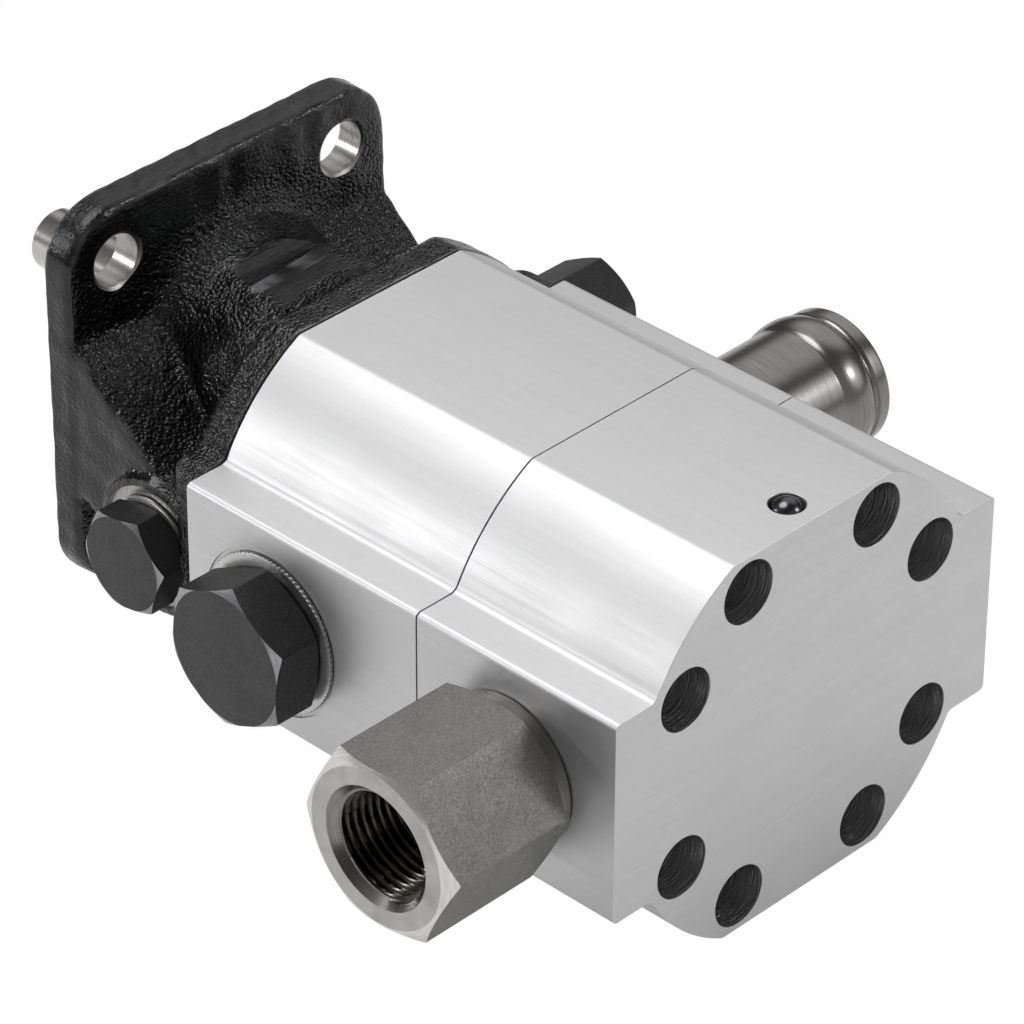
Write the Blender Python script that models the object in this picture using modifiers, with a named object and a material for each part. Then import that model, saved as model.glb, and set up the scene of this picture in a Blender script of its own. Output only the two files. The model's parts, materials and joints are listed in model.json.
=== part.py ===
# Two-stage gear pump with a four-bolt cast flange, modelled in metres, +Z up.
# The shaft runs along Y and leaves the flange towards +Y. The inlet tube is on +X and the outlet on -X.
# Sizes are given from the pump's own datum: the barrel axis on the rear face, with the rear face at y = 0.
# The object's origin is the bottom centre of its bounding box.
import math

import bmesh
import bpy
from mathutils import Matrix, Vector

MM = 0.001
COLLECTION_NAME = "two_stage_gear_pump"

# Clearances
SEAT_GAP = 0.3 * MM
RUNNING_GAP = 0.15 * MM
TOOTH_GAP = 0.2 * MM
HALF_KEY_GAP = 0.05 * MM
CUT_OVER = 5.0 * MM

# Housing section: a turned barrel cut by two flats, with a square lug on each side
LUG_WALL = 13.6 * MM
LUG_HALF_HEIGHT = 21.5 * MM
FLAT_DEPTH = 5.1 * MM
LUG_CORNER_RADIUS = 1.6 * MM
LUG_ROOT_RADIUS = 2.0 * MM

# Gears
GEAR_MODULE = 2.25 * MM
TOOTH_COUNT = 12
DEDENDUM_SHARE = 1.25
ROOT_FILLET_TURN = 0.03
ROOT_FILLET_SHARE = 0.92
PRESSURE_ANGLE = math.radians(25.0)
FIRST_STAGE_WIDTH = 32.0 * MM
SECOND_STAGE_WIDTH = 12.0 * MM
POCKET_GAP = 0.25 * MM
BLOCK_GAP = 0.2 * MM
REAR_WALL = 11.0 * MM
SECOND_REAR_BLOCK_LENGTH = 7.6 * MM
SECOND_FRONT_BLOCK_LENGTH = 16.35 * MM
FIRST_REAR_BLOCK_LENGTH = 8.65 * MM
FIRST_FRONT_BLOCK_LENGTH = 16.7 * MM

# Shafts
SHAFT_RADIUS = 6.35 * MM
JOURNAL_RADIUS = 8.0 * MM
SHAFT_REACH = 40.3 * MM
SHAFT_CHAMFER = 0.8 * MM
SHAFT_SHOULDER = 1.0 * MM
SHAFT_CLEARANCE = 1.0 * MM
IDLER_END_GAP = 0.4 * MM
KEY_SIZE = 3.175 * MM
KEY_LENGTH = 25.4 * MM
KEY_SETBACK = 3.0 * MM

# Body screws, in deep counterbores on the rear face
SCREW_EDGE = 3.35 * MM
SCREW_LAND = 1.2 * MM
SCREW_ANGLES = (math.radians(29.3), math.radians(63.05))
COUNTERBORE_RADIUS = 6.25 * MM
COUNTERBORE_DEPTH = 28.0 * MM
SCREW_HEAD_RADIUS = 5.95 * MM
SCREW_HEAD_HEIGHT = 7.9 * MM
SCREW_RADIUS = 3.95 * MM
SCREW_SOCKET_FLATS = 6.35 * MM
SCREW_SOCKET_DEPTH = 4.0 * MM
SCREW_ENGAGEMENT = 7.0 * MM

# Cast front cover
COVER_PROUD = 0.4 * MM
COVER_EAR_INSET = 3.5 * MM
COVER_BASE_THICKNESS = 8.0 * MM
COVER_LENGTH = 39.8 * MM
COVER_CORNER_RADIUS = 3.0 * MM
FLANGE_SIDE = 82.5 * MM
FLANGE_THICKNESS = 6.5 * MM
FLANGE_CORNER_RADIUS = 12.0 * MM
FLANGE_EDGE_RADIUS = 0.8 * MM
FLANGE_HOLE_SPACING = 58.4 * MM
FLANGE_HOLE_RADIUS = 5.4 * MM
FLANGE_HOLE_CHAMFER = 0.4 * MM
PILOT_RADIUS = 25.4 * MM
PILOT_HEIGHT = 5.2 * MM
NECK_RADIUS = 23.5 * MM
NECK_ROOT_RADIUS = 28.0 * MM
NECK_FLANGE_RADIUS = 31.0 * MM
GUSSET_INSET = 0.25 * MM
NECK_ROOT_RUN = 6.0 * MM
NECK_FLARE_RUN = 9.0 * MM
NECK_FLARE_WIDTH = 3.4 * MM
NECK_FLARE_SHARES = (0.0, 0.35, 0.65, 0.85)
NECK_SKIN = 0.2 * MM
GUSSET_TOP = 28.4 * MM
GUSSET_KNEE_RUN = 11.4 * MM
GUSSET_KNEE_HEIGHT = 11.5 * MM
GUSSET_FOOT_HEIGHT = 3.0 * MM
GUSSET_SOLE_HEIGHT = -18.0 * MM
GUSSET_HEEL_RUN = 21.4 * MM
GUSSET_HEEL_HEIGHT = -17.0 * MM
GUSSET_STEP_RUN = 25.4 * MM
GUSSET_STEP_HEIGHT = -8.0 * MM
GUSSET_BOTTOM_HEIGHT = -4.5 * MM
SHAFT_BORE_RADIUS = 8.8 * MM
BUSH_LENGTH = 20.0 * MM
SEAL_RADIUS = 14.0 * MM
SEAL_WIDTH = 7.0 * MM
RETAINING_RING_THICKNESS = 1.2 * MM
RETAINING_RING_DEPTH = 1.3 * MM
RETAINING_RING_WIDTH = 3.1 * MM
RING_SETBACK = 2.0 * MM
RING_TO_SEAL = 1.0 * MM
BUSH_TO_SEAL = 2.3 * MM
SEAL_SHELL = 2.0 * MM
SEAL_LIP_RISE = 1.2 * MM

# Unloading valve across the cover
VALVE_STATION = 17.7 * MM
VALVE_HEIGHT = -4.5 * MM
VALVE_CAST_RADIUS = 14.2 * MM
VALVE_LEFT_OVERHANG = 1.15 * MM
VALVE_RIGHT_OVERHANG = 19.75 * MM
VALVE_BORE_RADIUS = 7.2 * MM
VALVE_CHAMBER_RADIUS = 8.9 * MM
VALVE_CHAMBER_DEPTH = 33.0 * MM
SPOOL_RADIUS = 7.05 * MM
SPOOL_WAIST_RADIUS = 4.2 * MM
SPOOL_LAND = 9.0 * MM
VALVE_PORT_RADIUS = 3.4 * MM
VALVE_PORT_OFFSET = 11.0 * MM

# Ports and transfer passages
INLET_OFFSET = 21.15 * MM
INLET_TUBE_RADIUS = 14.2 * MM
INLET_TUBE_WALL = 1.9 * MM
INLET_TUBE_PROJECTION = 36.6 * MM
INLET_TUBE_SEAT = 11.3 * MM
INLET_BEAD_RADIUS = 15.1 * MM
INLET_BEAD_SETBACK = 12.2 * MM
INLET_BEAD_NECK = 0.5 * MM
INLET_BEAD_NECK_WIDTH = 1.4 * MM
INLET_RIM_ROUND = 0.7 * MM
INLET_RIM_BREAK = 0.3 * MM
INLET_BEAD_WIDTH = 7.4 * MM
INLET_PASSAGE_RADIUS = 10.5 * MM
OUTLET_FLATS = 32.8 * MM
OUTLET_FACE_RADIUS = 15.75 * MM
OUTLET_TURN = math.radians(-3.1)
OUTLET_HEX_LENGTH = 27.0 * MM
OUTLET_COLLAR_RADIUS = 16.3 * MM
OUTLET_COLLAR_LENGTH = 4.7 * MM
OUTLET_COLLAR_CHAMFER = 0.7 * MM
OUTLET_THREAD_RADIUS = 10.6 * MM
OUTLET_THREAD_DEPTH = 18.0 * MM
OUTLET_RIM_RADIUS = 12.0 * MM
OUTLET_RIM_DEPTH = 1.6 * MM
OUTLET_THREAD_TAPER = 0.6 * MM
OUTLET_SPIGOT_RADIUS = 10.4 * MM
OUTLET_SPIGOT_LENGTH = 11.5 * MM
OUTLET_PASSAGE_RADIUS = 7.0 * MM
TRANSFER_LAND = 1.2 * MM
TRANSFER_RADIUS = 4.8 * MM

# Check valve behind the large plug
CHECK_OFFSET = 37.45 * MM
CHECK_HEIGHT = -1.0 * MM
CHECK_PLUG_FLATS = 26.9 * MM
CHECK_FACE_RADIUS = 13.3 * MM
CHECK_PLUG_TURN = math.radians(-24.3)
CHECK_PLUG_HEIGHT = 10.6 * MM
CHECK_SPIGOT_RADIUS = 10.0 * MM
CHECK_SPIGOT_LENGTH = 15.0 * MM
CHECK_SPOTFACE_RADIUS = 17.05 * MM
SPOTFACE_DEPTH = 0.35 * MM
CHECK_WASHER_RADIUS = 16.3 * MM
WASHER_THICKNESS = 0.7 * MM
CHECK_CHAMBER_RADIUS = 7.7 * MM
CHECK_SEAT_DEPTH = 30.0 * MM
CHECK_PORT_RADIUS = 4.4 * MM
POPPET_RADIUS = 6.4 * MM
POPPET_THICKNESS = 3.0 * MM
POPPET_STEM_RADIUS = 3.0 * MM
POPPET_STEM_LENGTH = 4.0 * MM
POPPET_CHAMFER = 0.8 * MM
CHECK_SPRING_POCKET = 2.5 * MM
CHECK_SPRING_ROOM = 1.2 * MM

# Cover plugs
SMALL_PLUG_FLATS = 19.0 * MM
SMALL_FACE_RADIUS = 9.4 * MM
SMALL_PLUG_TURN = math.radians(-9.7)
SMALL_PLUG_HEIGHT = 6.9 * MM
SMALL_SPIGOT_RADIUS = 7.0 * MM
SMALL_SPIGOT_LENGTH = 9.0 * MM
SMALL_WASHER_RADIUS = 10.6 * MM
SMALL_SPOTFACE_RADIUS = 14.6 * MM
CAP_FLATS = 19.4 * MM
CAP_FACE_RADIUS = 9.6 * MM
CAP_TURN = math.radians(34.0)
CAP_HEIGHT = 16.7 * MM
CAP_SPIGOT_LENGTH = 10.0 * MM
CAP_WASHER_RADIUS = 10.6 * MM
HEXAGON_CHAMFER = math.radians(30)
HEXAGON_OVERLAP = 1.0 * MM

# Springs
CHECK_SPRING_WIRE = 0.35 * MM
VALVE_SPRING_WIRE = 0.8 * MM
SPRING_TURNS = 5
SPRING_POINTS_PER_TURN = 8
CHECK_SPRING_RADIUS = 4.3 * MM
VALVE_SPRING_RADIUS = 6.2 * MM

# Seals, dowels and the pressed ball
SEAL_GROOVE_INSET = 2.2 * MM
SEAL_GROOVE_WIDTH = 2.2 * MM
SEAL_GROOVE_DEPTH = 1.9 * MM
SEAL_RECESS = 0.1 * MM
TRANSFER_SEAL_RADIUS = 7.4 * MM
TRANSFER_SEAL_WIDTH = 1.8 * MM
DOWEL_RADIUS = 2.5 * MM
DOWEL_LENGTH = 11.0 * MM
DOWEL_INSET = 8.0 * MM
BALL_RADIUS = 3.2 * MM
BALL_STATION = 6.5 * MM
BALL_SINK = 0.7 * MM
DRAIN_RADIUS = 2.0 * MM
DRAIN_CROSS_RADIUS = 1.7 * MM
DRAIN_TIP = 1.0 * MM

# Facet counts
FINE_STEPS = 32
ROUND_STEPS = 20
SMALL_STEPS = 14
POCKET_STEPS = 20
SEAL_STEPS = 12
FLANK_POINTS = 3

# Sizes that follow from the driving dimensions
PITCH_RADIUS = GEAR_MODULE * TOOTH_COUNT / 2
TIP_RADIUS = PITCH_RADIUS + GEAR_MODULE
ROOT_RADIUS = PITCH_RADIUS - DEDENDUM_SHARE * GEAR_MODULE
SHAFT_HEIGHT = PITCH_RADIUS
POCKET_RADIUS = TIP_RADIUS + POCKET_GAP
BLOCK_RADIUS = POCKET_RADIUS - BLOCK_GAP
TRANSFER_OFFSET = (POCKET_RADIUS + SEAL_GROOVE_INSET + SEAL_GROOVE_WIDTH
                   + TRANSFER_SEAL_RADIUS + TRANSFER_LAND)
BODY_HALF_WIDTH = TRANSFER_OFFSET + TRANSFER_SEAL_RADIUS + LUG_WALL
HOLE_RADIUS = SCREW_RADIUS + SEAT_GAP
SCREW_REACH = POCKET_RADIUS + SEAL_GROOVE_INSET + SEAL_GROOVE_WIDTH + SCREW_LAND + HOLE_RADIUS
SCREW_ACROSS = SHAFT_HEIGHT * math.cos(SCREW_ANGLES[1])
SCREW_CIRCLE_RADIUS = (SHAFT_HEIGHT * math.sin(SCREW_ANGLES[1])
                       + math.sqrt(SCREW_REACH ** 2 - SCREW_ACROSS ** 2))
BODY_HALF_HEIGHT = SCREW_CIRCLE_RADIUS + SCREW_EDGE
BARREL_RADIUS = BODY_HALF_HEIGHT + FLAT_DEPTH
REAR_BODY_LENGTH = (REAR_WALL + SECOND_REAR_BLOCK_LENGTH + SECOND_STAGE_WIDTH
                    + SECOND_FRONT_BLOCK_LENGTH + 4 * SEAT_GAP)
FRONT_BODY_LENGTH = FIRST_REAR_BLOCK_LENGTH + FIRST_STAGE_WIDTH + FIRST_FRONT_BLOCK_LENGTH + 5 * SEAT_GAP
SEAM = REAR_BODY_LENGTH
FRONT_START = SEAM + SEAT_GAP
FRONT_END = FRONT_START + FRONT_BODY_LENGTH
COVER_START = FRONT_END + SEAT_GAP
COVER_BASE_END = COVER_START + COVER_BASE_THICKNESS
FLANGE_START = COVER_START + COVER_LENGTH
FLANGE_FACE = FLANGE_START + FLANGE_THICKNESS
PILOT_FACE = FLANGE_FACE + PILOT_HEIGHT
SHAFT_END = PILOT_FACE + SHAFT_REACH
RING_START = PILOT_FACE - RING_SETBACK - RETAINING_RING_THICKNESS
SEAL_START = RING_START - RING_TO_SEAL - SEAL_WIDTH
BUSH_END = SEAL_START - BUSH_TO_SEAL
FIRST_GEAR_START = FRONT_START + 3 * SEAT_GAP + FIRST_REAR_BLOCK_LENGTH
FIRST_GEAR_END = FIRST_GEAR_START + FIRST_STAGE_WIDTH
SECOND_GEAR_START = REAR_WALL + 2 * SEAT_GAP + SECOND_REAR_BLOCK_LENGTH
SECOND_GEAR_END = SECOND_GEAR_START + SECOND_STAGE_WIDTH
OUTLET_STATION = (SECOND_GEAR_START + SECOND_GEAR_END) / 2
INLET_STATION = FRONT_START + INLET_OFFSET
CHECK_STATION = FRONT_START + CHECK_OFFSET
OUTLET_REACH = BODY_HALF_WIDTH + SEAT_GAP + OUTLET_COLLAR_LENGTH + OUTLET_HEX_LENGTH
INLET_TUBE_REACH = BODY_HALF_WIDTH + INLET_TUBE_PROJECTION
INLET_BEAD_START = INLET_TUBE_REACH - INLET_BEAD_SETBACK
DOWEL_OFFSET = BODY_HALF_WIDTH - DOWEL_INSET
CHECK_SEAT_REACH = BODY_HALF_WIDTH - CHECK_SEAT_DEPTH
COVER_EAR_HALF_WIDTH = BODY_HALF_WIDTH - COVER_EAR_INSET
VALVE_LEFT_REACH = FLANGE_SIDE / 2 + VALVE_LEFT_OVERHANG
VALVE_RIGHT_REACH = FLANGE_SIDE / 2 + VALVE_RIGHT_OVERHANG
VALVE_CHAMBER_START = VALVE_RIGHT_REACH - VALVE_CHAMBER_DEPTH
VALVE_Y = COVER_START + VALVE_STATION
COVER_HALF_HEIGHT = BODY_HALF_HEIGHT + COVER_PROUD
X_DATUM = (OUTLET_REACH - INLET_TUBE_REACH) / 2
Y_DATUM = -SHAFT_END / 2
Z_DATUM = COVER_HALF_HEIGHT


def clear_scene():
    for item in list(bpy.data.objects):
        bpy.data.objects.remove(item, do_unlink=True)


def make_collection(name):
    collection = bpy.data.collections.new(name)
    bpy.context.scene.collection.children.link(collection)
    return collection


def material(name, colour, roughness, metallic):
    made = bpy.data.materials.new(name)
    made.use_nodes = True
    shader = made.node_tree.nodes["Principled BSDF"]
    shader.inputs["Base Color"].default_value = (*colour, 1.0)
    shader.inputs["Roughness"].default_value = roughness
    shader.inputs["Metallic"].default_value = metallic
    made.diffuse_color = (*colour, 1.0)
    return made


def place(x, y, z):
    """World position of a point given from the pump's own datum."""
    return Vector((x + X_DATUM, y + Y_DATUM, z + Z_DATUM))


def link(item, name, collection):
    item.name = name
    collection.objects.link(item)
    return item


# Rotations that carry a local frame onto the pump's axes
TURN_AXIS = {"X": (0.0, math.pi / 2, 0.0), "Y": (-math.pi / 2, 0.0, 0.0), "Z": (0.0, 0.0, 0.0)}
SLAB_AXIS = {"X": (math.pi / 2, 0.0, math.pi / 2), "Y": (math.pi / 2, 0.0, 0.0), "Z": (0.0, 0.0, 0.0)}
ALONG = {"X": Vector((1, 0, 0)), "Y": Vector((0, 1, 0)), "Z": Vector((0, 0, 1))}


def smooth(item, angle=35.0):
    item.data.shade_smooth()
    item.data.set_sharp_from_angle(angle=math.radians(angle))


def turned(name, profile, axis, centre, steps, collection):
    """Turn (radius, station) points about an axis, with a flat and not an edge on each symmetry plane."""
    area = sum(a[0] * b[1] - b[0] * a[1] for a, b in zip(profile, profile[1:] + profile[:1]))
    points = profile if area < 0 else profile[::-1]
    on_axis = [index for index, point in enumerate(points) if point[0] == 0.0]
    if on_axis:
        while not (points[0][0] == 0.0 and points[-1][0] == 0.0):
            points = points[1:] + points[:1]
    mesh = bpy.data.meshes.new(name)
    edges = [(index, index + 1) for index in range(len(points) - 1)]
    if not on_axis:
        edges.append((len(points) - 1, 0))
    half_step = math.pi / steps
    aside = (math.cos(half_step), math.sin(half_step))
    places = [(radius * aside[0], radius * aside[1], station) for radius, station in points]
    mesh.from_pydata(places, edges, [])
    item = link(bpy.data.objects.new(name, mesh), name, collection)
    screw = item.modifiers.new("turn", "SCREW")
    screw.steps = steps
    screw.render_steps = steps
    screw.use_merge_vertices = True
    screw.merge_threshold = 0.00001
    item.location = place(*centre)
    item.rotation_euler = TURN_AXIS[axis]
    return item


def merge_caps(shape):
    """Make one face of each flat end of an extruded outline."""
    for level in {round(vert.co.z, 6) for vert in shape.verts}:
        cap = [face for face in shape.faces if all(abs(vert.co.z - level) < 0.00001 for vert in face.verts)]
        bmesh.ops.dissolve_faces(shape, faces=cap)


def solid_mesh(item, collection, whole_caps=False):
    """Turn a curve into a welded mesh object in the same place."""
    bpy.context.view_layer.update()
    graph = bpy.context.evaluated_depsgraph_get()
    mesh = bpy.data.meshes.new_from_object(item.evaluated_get(graph))
    shape = bmesh.new()
    shape.from_mesh(mesh)
    bmesh.ops.remove_doubles(shape, verts=shape.verts, dist=0.00001)
    if whole_caps:
        merge_caps(shape)
    bmesh.ops.recalc_face_normals(shape, faces=shape.faces)
    shape.to_mesh(mesh)
    shape.free()
    name = item.name
    matrix = item.matrix_world.copy()
    bpy.data.objects.remove(item, do_unlink=True)
    made = link(bpy.data.objects.new(name, mesh), name, collection)
    made.matrix_world = matrix
    return made


def slab(name, outlines, axis, start, end, collection):
    """Extrude flat outlines, the first outside and the rest holes, between two stations on an axis."""
    curve = bpy.data.curves.new(name, "CURVE")
    curve.dimensions = "2D"
    curve.fill_mode = "BOTH"
    curve.extrude = (end - start) / 2
    for outline in outlines:
        spline = curve.splines.new("POLY")
        spline.points.add(len(outline) - 1)
        for point, (u, v) in zip(spline.points, outline):
            point.co = (u, v, 0.0, 1.0)
        spline.use_cyclic_u = True
    item = link(bpy.data.objects.new(name, curve), name, collection)
    item.location = place(0, 0, 0) + ALONG[axis] * (start + end) / 2
    item.rotation_euler = SLAB_AXIS[axis]
    return solid_mesh(item, collection, whole_caps=len(outlines) == 1)


def block(name, low, high, collection):
    """A box between two corners given from the pump's datum."""
    shape = bmesh.new()
    bmesh.ops.create_cube(shape, size=1.0)
    size = [b - a for a, b in zip(low, high)]
    bmesh.ops.scale(shape, vec=size, verts=shape.verts)
    mesh = bpy.data.meshes.new(name)
    shape.to_mesh(mesh)
    shape.free()
    item = link(bpy.data.objects.new(name, mesh), name, collection)
    item.location = place(*[(a + b) / 2 for a, b in zip(low, high)])
    return item


def combine(item, operation, *tools):
    """Stack EXACT Booleans on an object and hide the objects that it uses."""
    for tool in tools:
        step = item.modifiers.new(tool.name, "BOOLEAN")
        step.operation = operation
        step.solver = "EXACT"
        step.object = tool
        tool.hide_render = True
        tool.display_type = "WIRE"
    return item


def rod(name, radius, axis, start, end, centre, steps, collection):
    """A plain cylinder between two stations on an axis."""
    profile = [(0.0, end), (radius, end), (radius, start), (0.0, start)]
    return turned(name, profile, axis, centre, steps, collection)


def arc(centre, radius, first, last, count):
    """Points along a circular arc, both ends included."""
    steps = [first + (last - first) * index / count for index in range(count + 1)]
    return [(centre[0] + radius * math.cos(a), centre[1] + radius * math.sin(a)) for a in steps]


def mirrored(quarter):
    """Complete an outline from its quarter between the two axes of symmetry."""
    upper = quarter + [(-u, v) for u, v in reversed(quarter)]
    return upper + [(-u, -v) for u, v in upper]


def housing_outline(half_width, half_height, lug_half_height, barrel_radius, corner_radius, root_radius):
    """Barrel with two flats, and a lug on each side that is rounded at its corners and roots."""
    corner = arc((half_width - corner_radius, lug_half_height - corner_radius), corner_radius,
                 0, math.pi / 2, 4)
    root_height = lug_half_height + root_radius
    root_x = math.sqrt((barrel_radius + root_radius) ** 2 - root_height ** 2)
    root_angle = math.atan2(root_height, root_x)
    root = arc((root_x, root_height), root_radius, 1.5 * math.pi, math.pi + root_angle, 4)
    flat_angle = math.asin(half_height / barrel_radius)
    barrel = arc((0, 0), barrel_radius, root_angle, flat_angle, 6)
    return mirrored(corner + root + barrel[1:])


def figure_eight(radius, count=POCKET_STEPS):
    """Two equal circles about the two gear axes, joined at the waist."""
    waist = math.acos(SHAFT_HEIGHT / radius)
    first = waist - math.pi / 2
    upper = arc((0, SHAFT_HEIGHT), radius, first, math.pi - first, count)
    return upper + [(-u, -v) for u, v in upper[1:-1]]


def gear_outline(phase):
    """Involute spur gear outline, with its first tooth at the phase angle."""
    base_radius = PITCH_RADIUS * math.cos(PRESSURE_ANGLE)
    involute = lambda angle: math.tan(angle) - angle
    flank_gap = TOOTH_GAP / math.cos(PRESSURE_ANGLE)
    half_tooth = (math.pi * GEAR_MODULE / 2 - flank_gap) / (2 * PITCH_RADIUS)
    flank = []
    for index in range(FLANK_POINTS):
        radius = base_radius + (TIP_RADIUS - base_radius) * index / (FLANK_POINTS - 1)
        turn = half_tooth + involute(PRESSURE_ANGLE) - involute(math.acos(base_radius / radius))
        flank.append((radius, turn))
    root_turn = min(flank[0][1] + ROOT_FILLET_TURN, math.pi / TOOTH_COUNT * ROOT_FILLET_SHARE)
    half = [(ROOT_RADIUS, root_turn)] + flank
    tooth = [(radius, -turn) for radius, turn in half] + [(radius, turn) for radius, turn in reversed(half)]
    points = []
    for index in range(TOOTH_COUNT):
        centre = phase + 2 * math.pi * index / TOOTH_COUNT
        points += [(r * math.cos(centre + t), r * math.sin(centre + t)) for r, t in tooth]
    return points


def circle(radius, centre, count):
    return arc(centre, radius, 0, 2 * math.pi, count)[:-1]


def shifted(points, u, v):
    return [(a + u, b + v) for a, b in points]


def screw_positions():
    """Eight screws on one circle: two in each quarter."""
    places = []
    for sign_x in (-1, 1):
        for sign_z in (-1, 1):
            for angle in SCREW_ANGLES:
                places.append((sign_x * SCREW_CIRCLE_RADIUS * math.cos(angle),
                               sign_z * SCREW_CIRCLE_RADIUS * math.sin(angle)))
    return places


def screw_holes(prefix, start, end, cutters):
    """Clearance holes for the body screws between two stations."""
    return [rod(f"{prefix}_{index}", HOLE_RADIUS, "Y", start, end, (x, 0, z), SMALL_STEPS, cutters)
            for index, (x, z) in enumerate(screw_positions())]


def dowel_holes(prefix, face, cutters):
    """Holes for the two dowels that cross a joint face."""
    reach = DOWEL_LENGTH / 2 + SEAT_GAP
    return [rod(f"{prefix}_{side}", DOWEL_RADIUS + SEAT_GAP, "Y", face - reach, face + reach,
                (side * DOWEL_OFFSET, 0, 0), SMALL_STEPS, cutters) for side in (-1, 1)]


def seal_groove(name, face, cutters):
    """Figure-eight groove for the face seal, cut back from a body's front face."""
    inner = POCKET_RADIUS + SEAL_GROOVE_INSET
    outlines = [figure_eight(inner + SEAL_GROOVE_WIDTH, SEAL_STEPS), figure_eight(inner, SEAL_STEPS)]
    return slab(name, outlines, "Y", face - SEAL_GROOVE_DEPTH, face + SEAL_GROOVE_DEPTH, cutters)


def ring_profile(inner, outer, start, end):
    return [(outer, end), (outer, start), (inner, start), (inner, end)]


def rear_body(parts, cutters, metal):
    """Second-stage housing, closed at the rear, with the outlet port and the deep screw counterbores."""
    outline = housing_outline(BODY_HALF_WIDTH, BODY_HALF_HEIGHT, LUG_HALF_HEIGHT,
                              BARREL_RADIUS, LUG_CORNER_RADIUS, LUG_ROOT_RADIUS)
    item = slab("rear_body", [outline], "Y", 0.0, SEAM, parts)
    tools = [slab("rear_pocket", [figure_eight(POCKET_RADIUS)], "Y", REAR_WALL, SEAM + CUT_OVER, cutters)]
    for index, (x, z) in enumerate(screw_positions()):
        profile = [(0.0, SEAM + CUT_OVER), (HOLE_RADIUS, SEAM + CUT_OVER), (HOLE_RADIUS, COUNTERBORE_DEPTH),
                   (COUNTERBORE_RADIUS, COUNTERBORE_DEPTH), (COUNTERBORE_RADIUS, -CUT_OVER), (0.0, -CUT_OVER)]
        tools.append(turned(f"rear_screw_hole_{index}", profile, "Y", (x, 0, z), SMALL_STEPS, cutters))
    port = [(0.0, -BODY_HALF_WIDTH - CUT_OVER),
            (OUTLET_SPIGOT_RADIUS + SEAT_GAP, -BODY_HALF_WIDTH - CUT_OVER),
            (OUTLET_SPIGOT_RADIUS + SEAT_GAP, -BODY_HALF_WIDTH + OUTLET_SPIGOT_LENGTH + SEAT_GAP),
            (OUTLET_PASSAGE_RADIUS, -BODY_HALF_WIDTH + OUTLET_SPIGOT_LENGTH + SEAT_GAP),
            (OUTLET_PASSAGE_RADIUS, 0.0), (0.0, 0.0)]
    tools.append(turned("outlet_port", port, "X", (0, OUTLET_STATION, 0), ROUND_STEPS, cutters))
    tools.append(rod("rear_suction_port", TRANSFER_RADIUS, "X", 0.0, TRANSFER_OFFSET + TRANSFER_RADIUS / 2,
                     (0, OUTLET_STATION, 0), ROUND_STEPS, cutters))
    for side in (-1, 1):
        tools.append(rod(f"rear_transfer_{side}", TRANSFER_RADIUS, "Y", OUTLET_STATION, SEAM + CUT_OVER,
                         (side * TRANSFER_OFFSET, 0, 0), SMALL_STEPS, cutters))
        groove = ring_profile(TRANSFER_SEAL_RADIUS - TRANSFER_SEAL_WIDTH, TRANSFER_SEAL_RADIUS,
                              SEAM - SEAL_GROOVE_DEPTH, SEAM + CUT_OVER)
        tools.append(turned(f"transfer_groove_{side}", groove, "Y", (side * TRANSFER_OFFSET, 0, 0),
                            SMALL_STEPS, cutters))
    tools.append(seal_groove("rear_seal_groove", SEAM, cutters))
    ball_seat = BODY_HALF_HEIGHT - BALL_SINK - 2 * BALL_RADIUS
    drain_floor = SHAFT_HEIGHT - DRAIN_TIP
    drain = [(0.0, BODY_HALF_HEIGHT + CUT_OVER), (BALL_RADIUS + SEAT_GAP, BODY_HALF_HEIGHT + CUT_OVER),
             (BALL_RADIUS + SEAT_GAP, ball_seat), (DRAIN_RADIUS, ball_seat), (DRAIN_RADIUS, drain_floor),
             (0.0, drain_floor)]
    tools.append(turned("drain_hole", drain, "Z", (0, BALL_STATION, 0), SMALL_STEPS, cutters))
    tools.append(rod("drain_cross_hole", DRAIN_CROSS_RADIUS, "Y", BALL_STATION - DRAIN_TIP,
                     REAR_WALL + CUT_OVER, (0, 0, SHAFT_HEIGHT + 2 * DRAIN_TIP), SMALL_STEPS, cutters))
    tools += dowel_holes("rear_dowel_hole", SEAM, cutters)
    combine(item, "DIFFERENCE", *tools)
    item.data.materials.append(metal)
    return item


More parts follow.
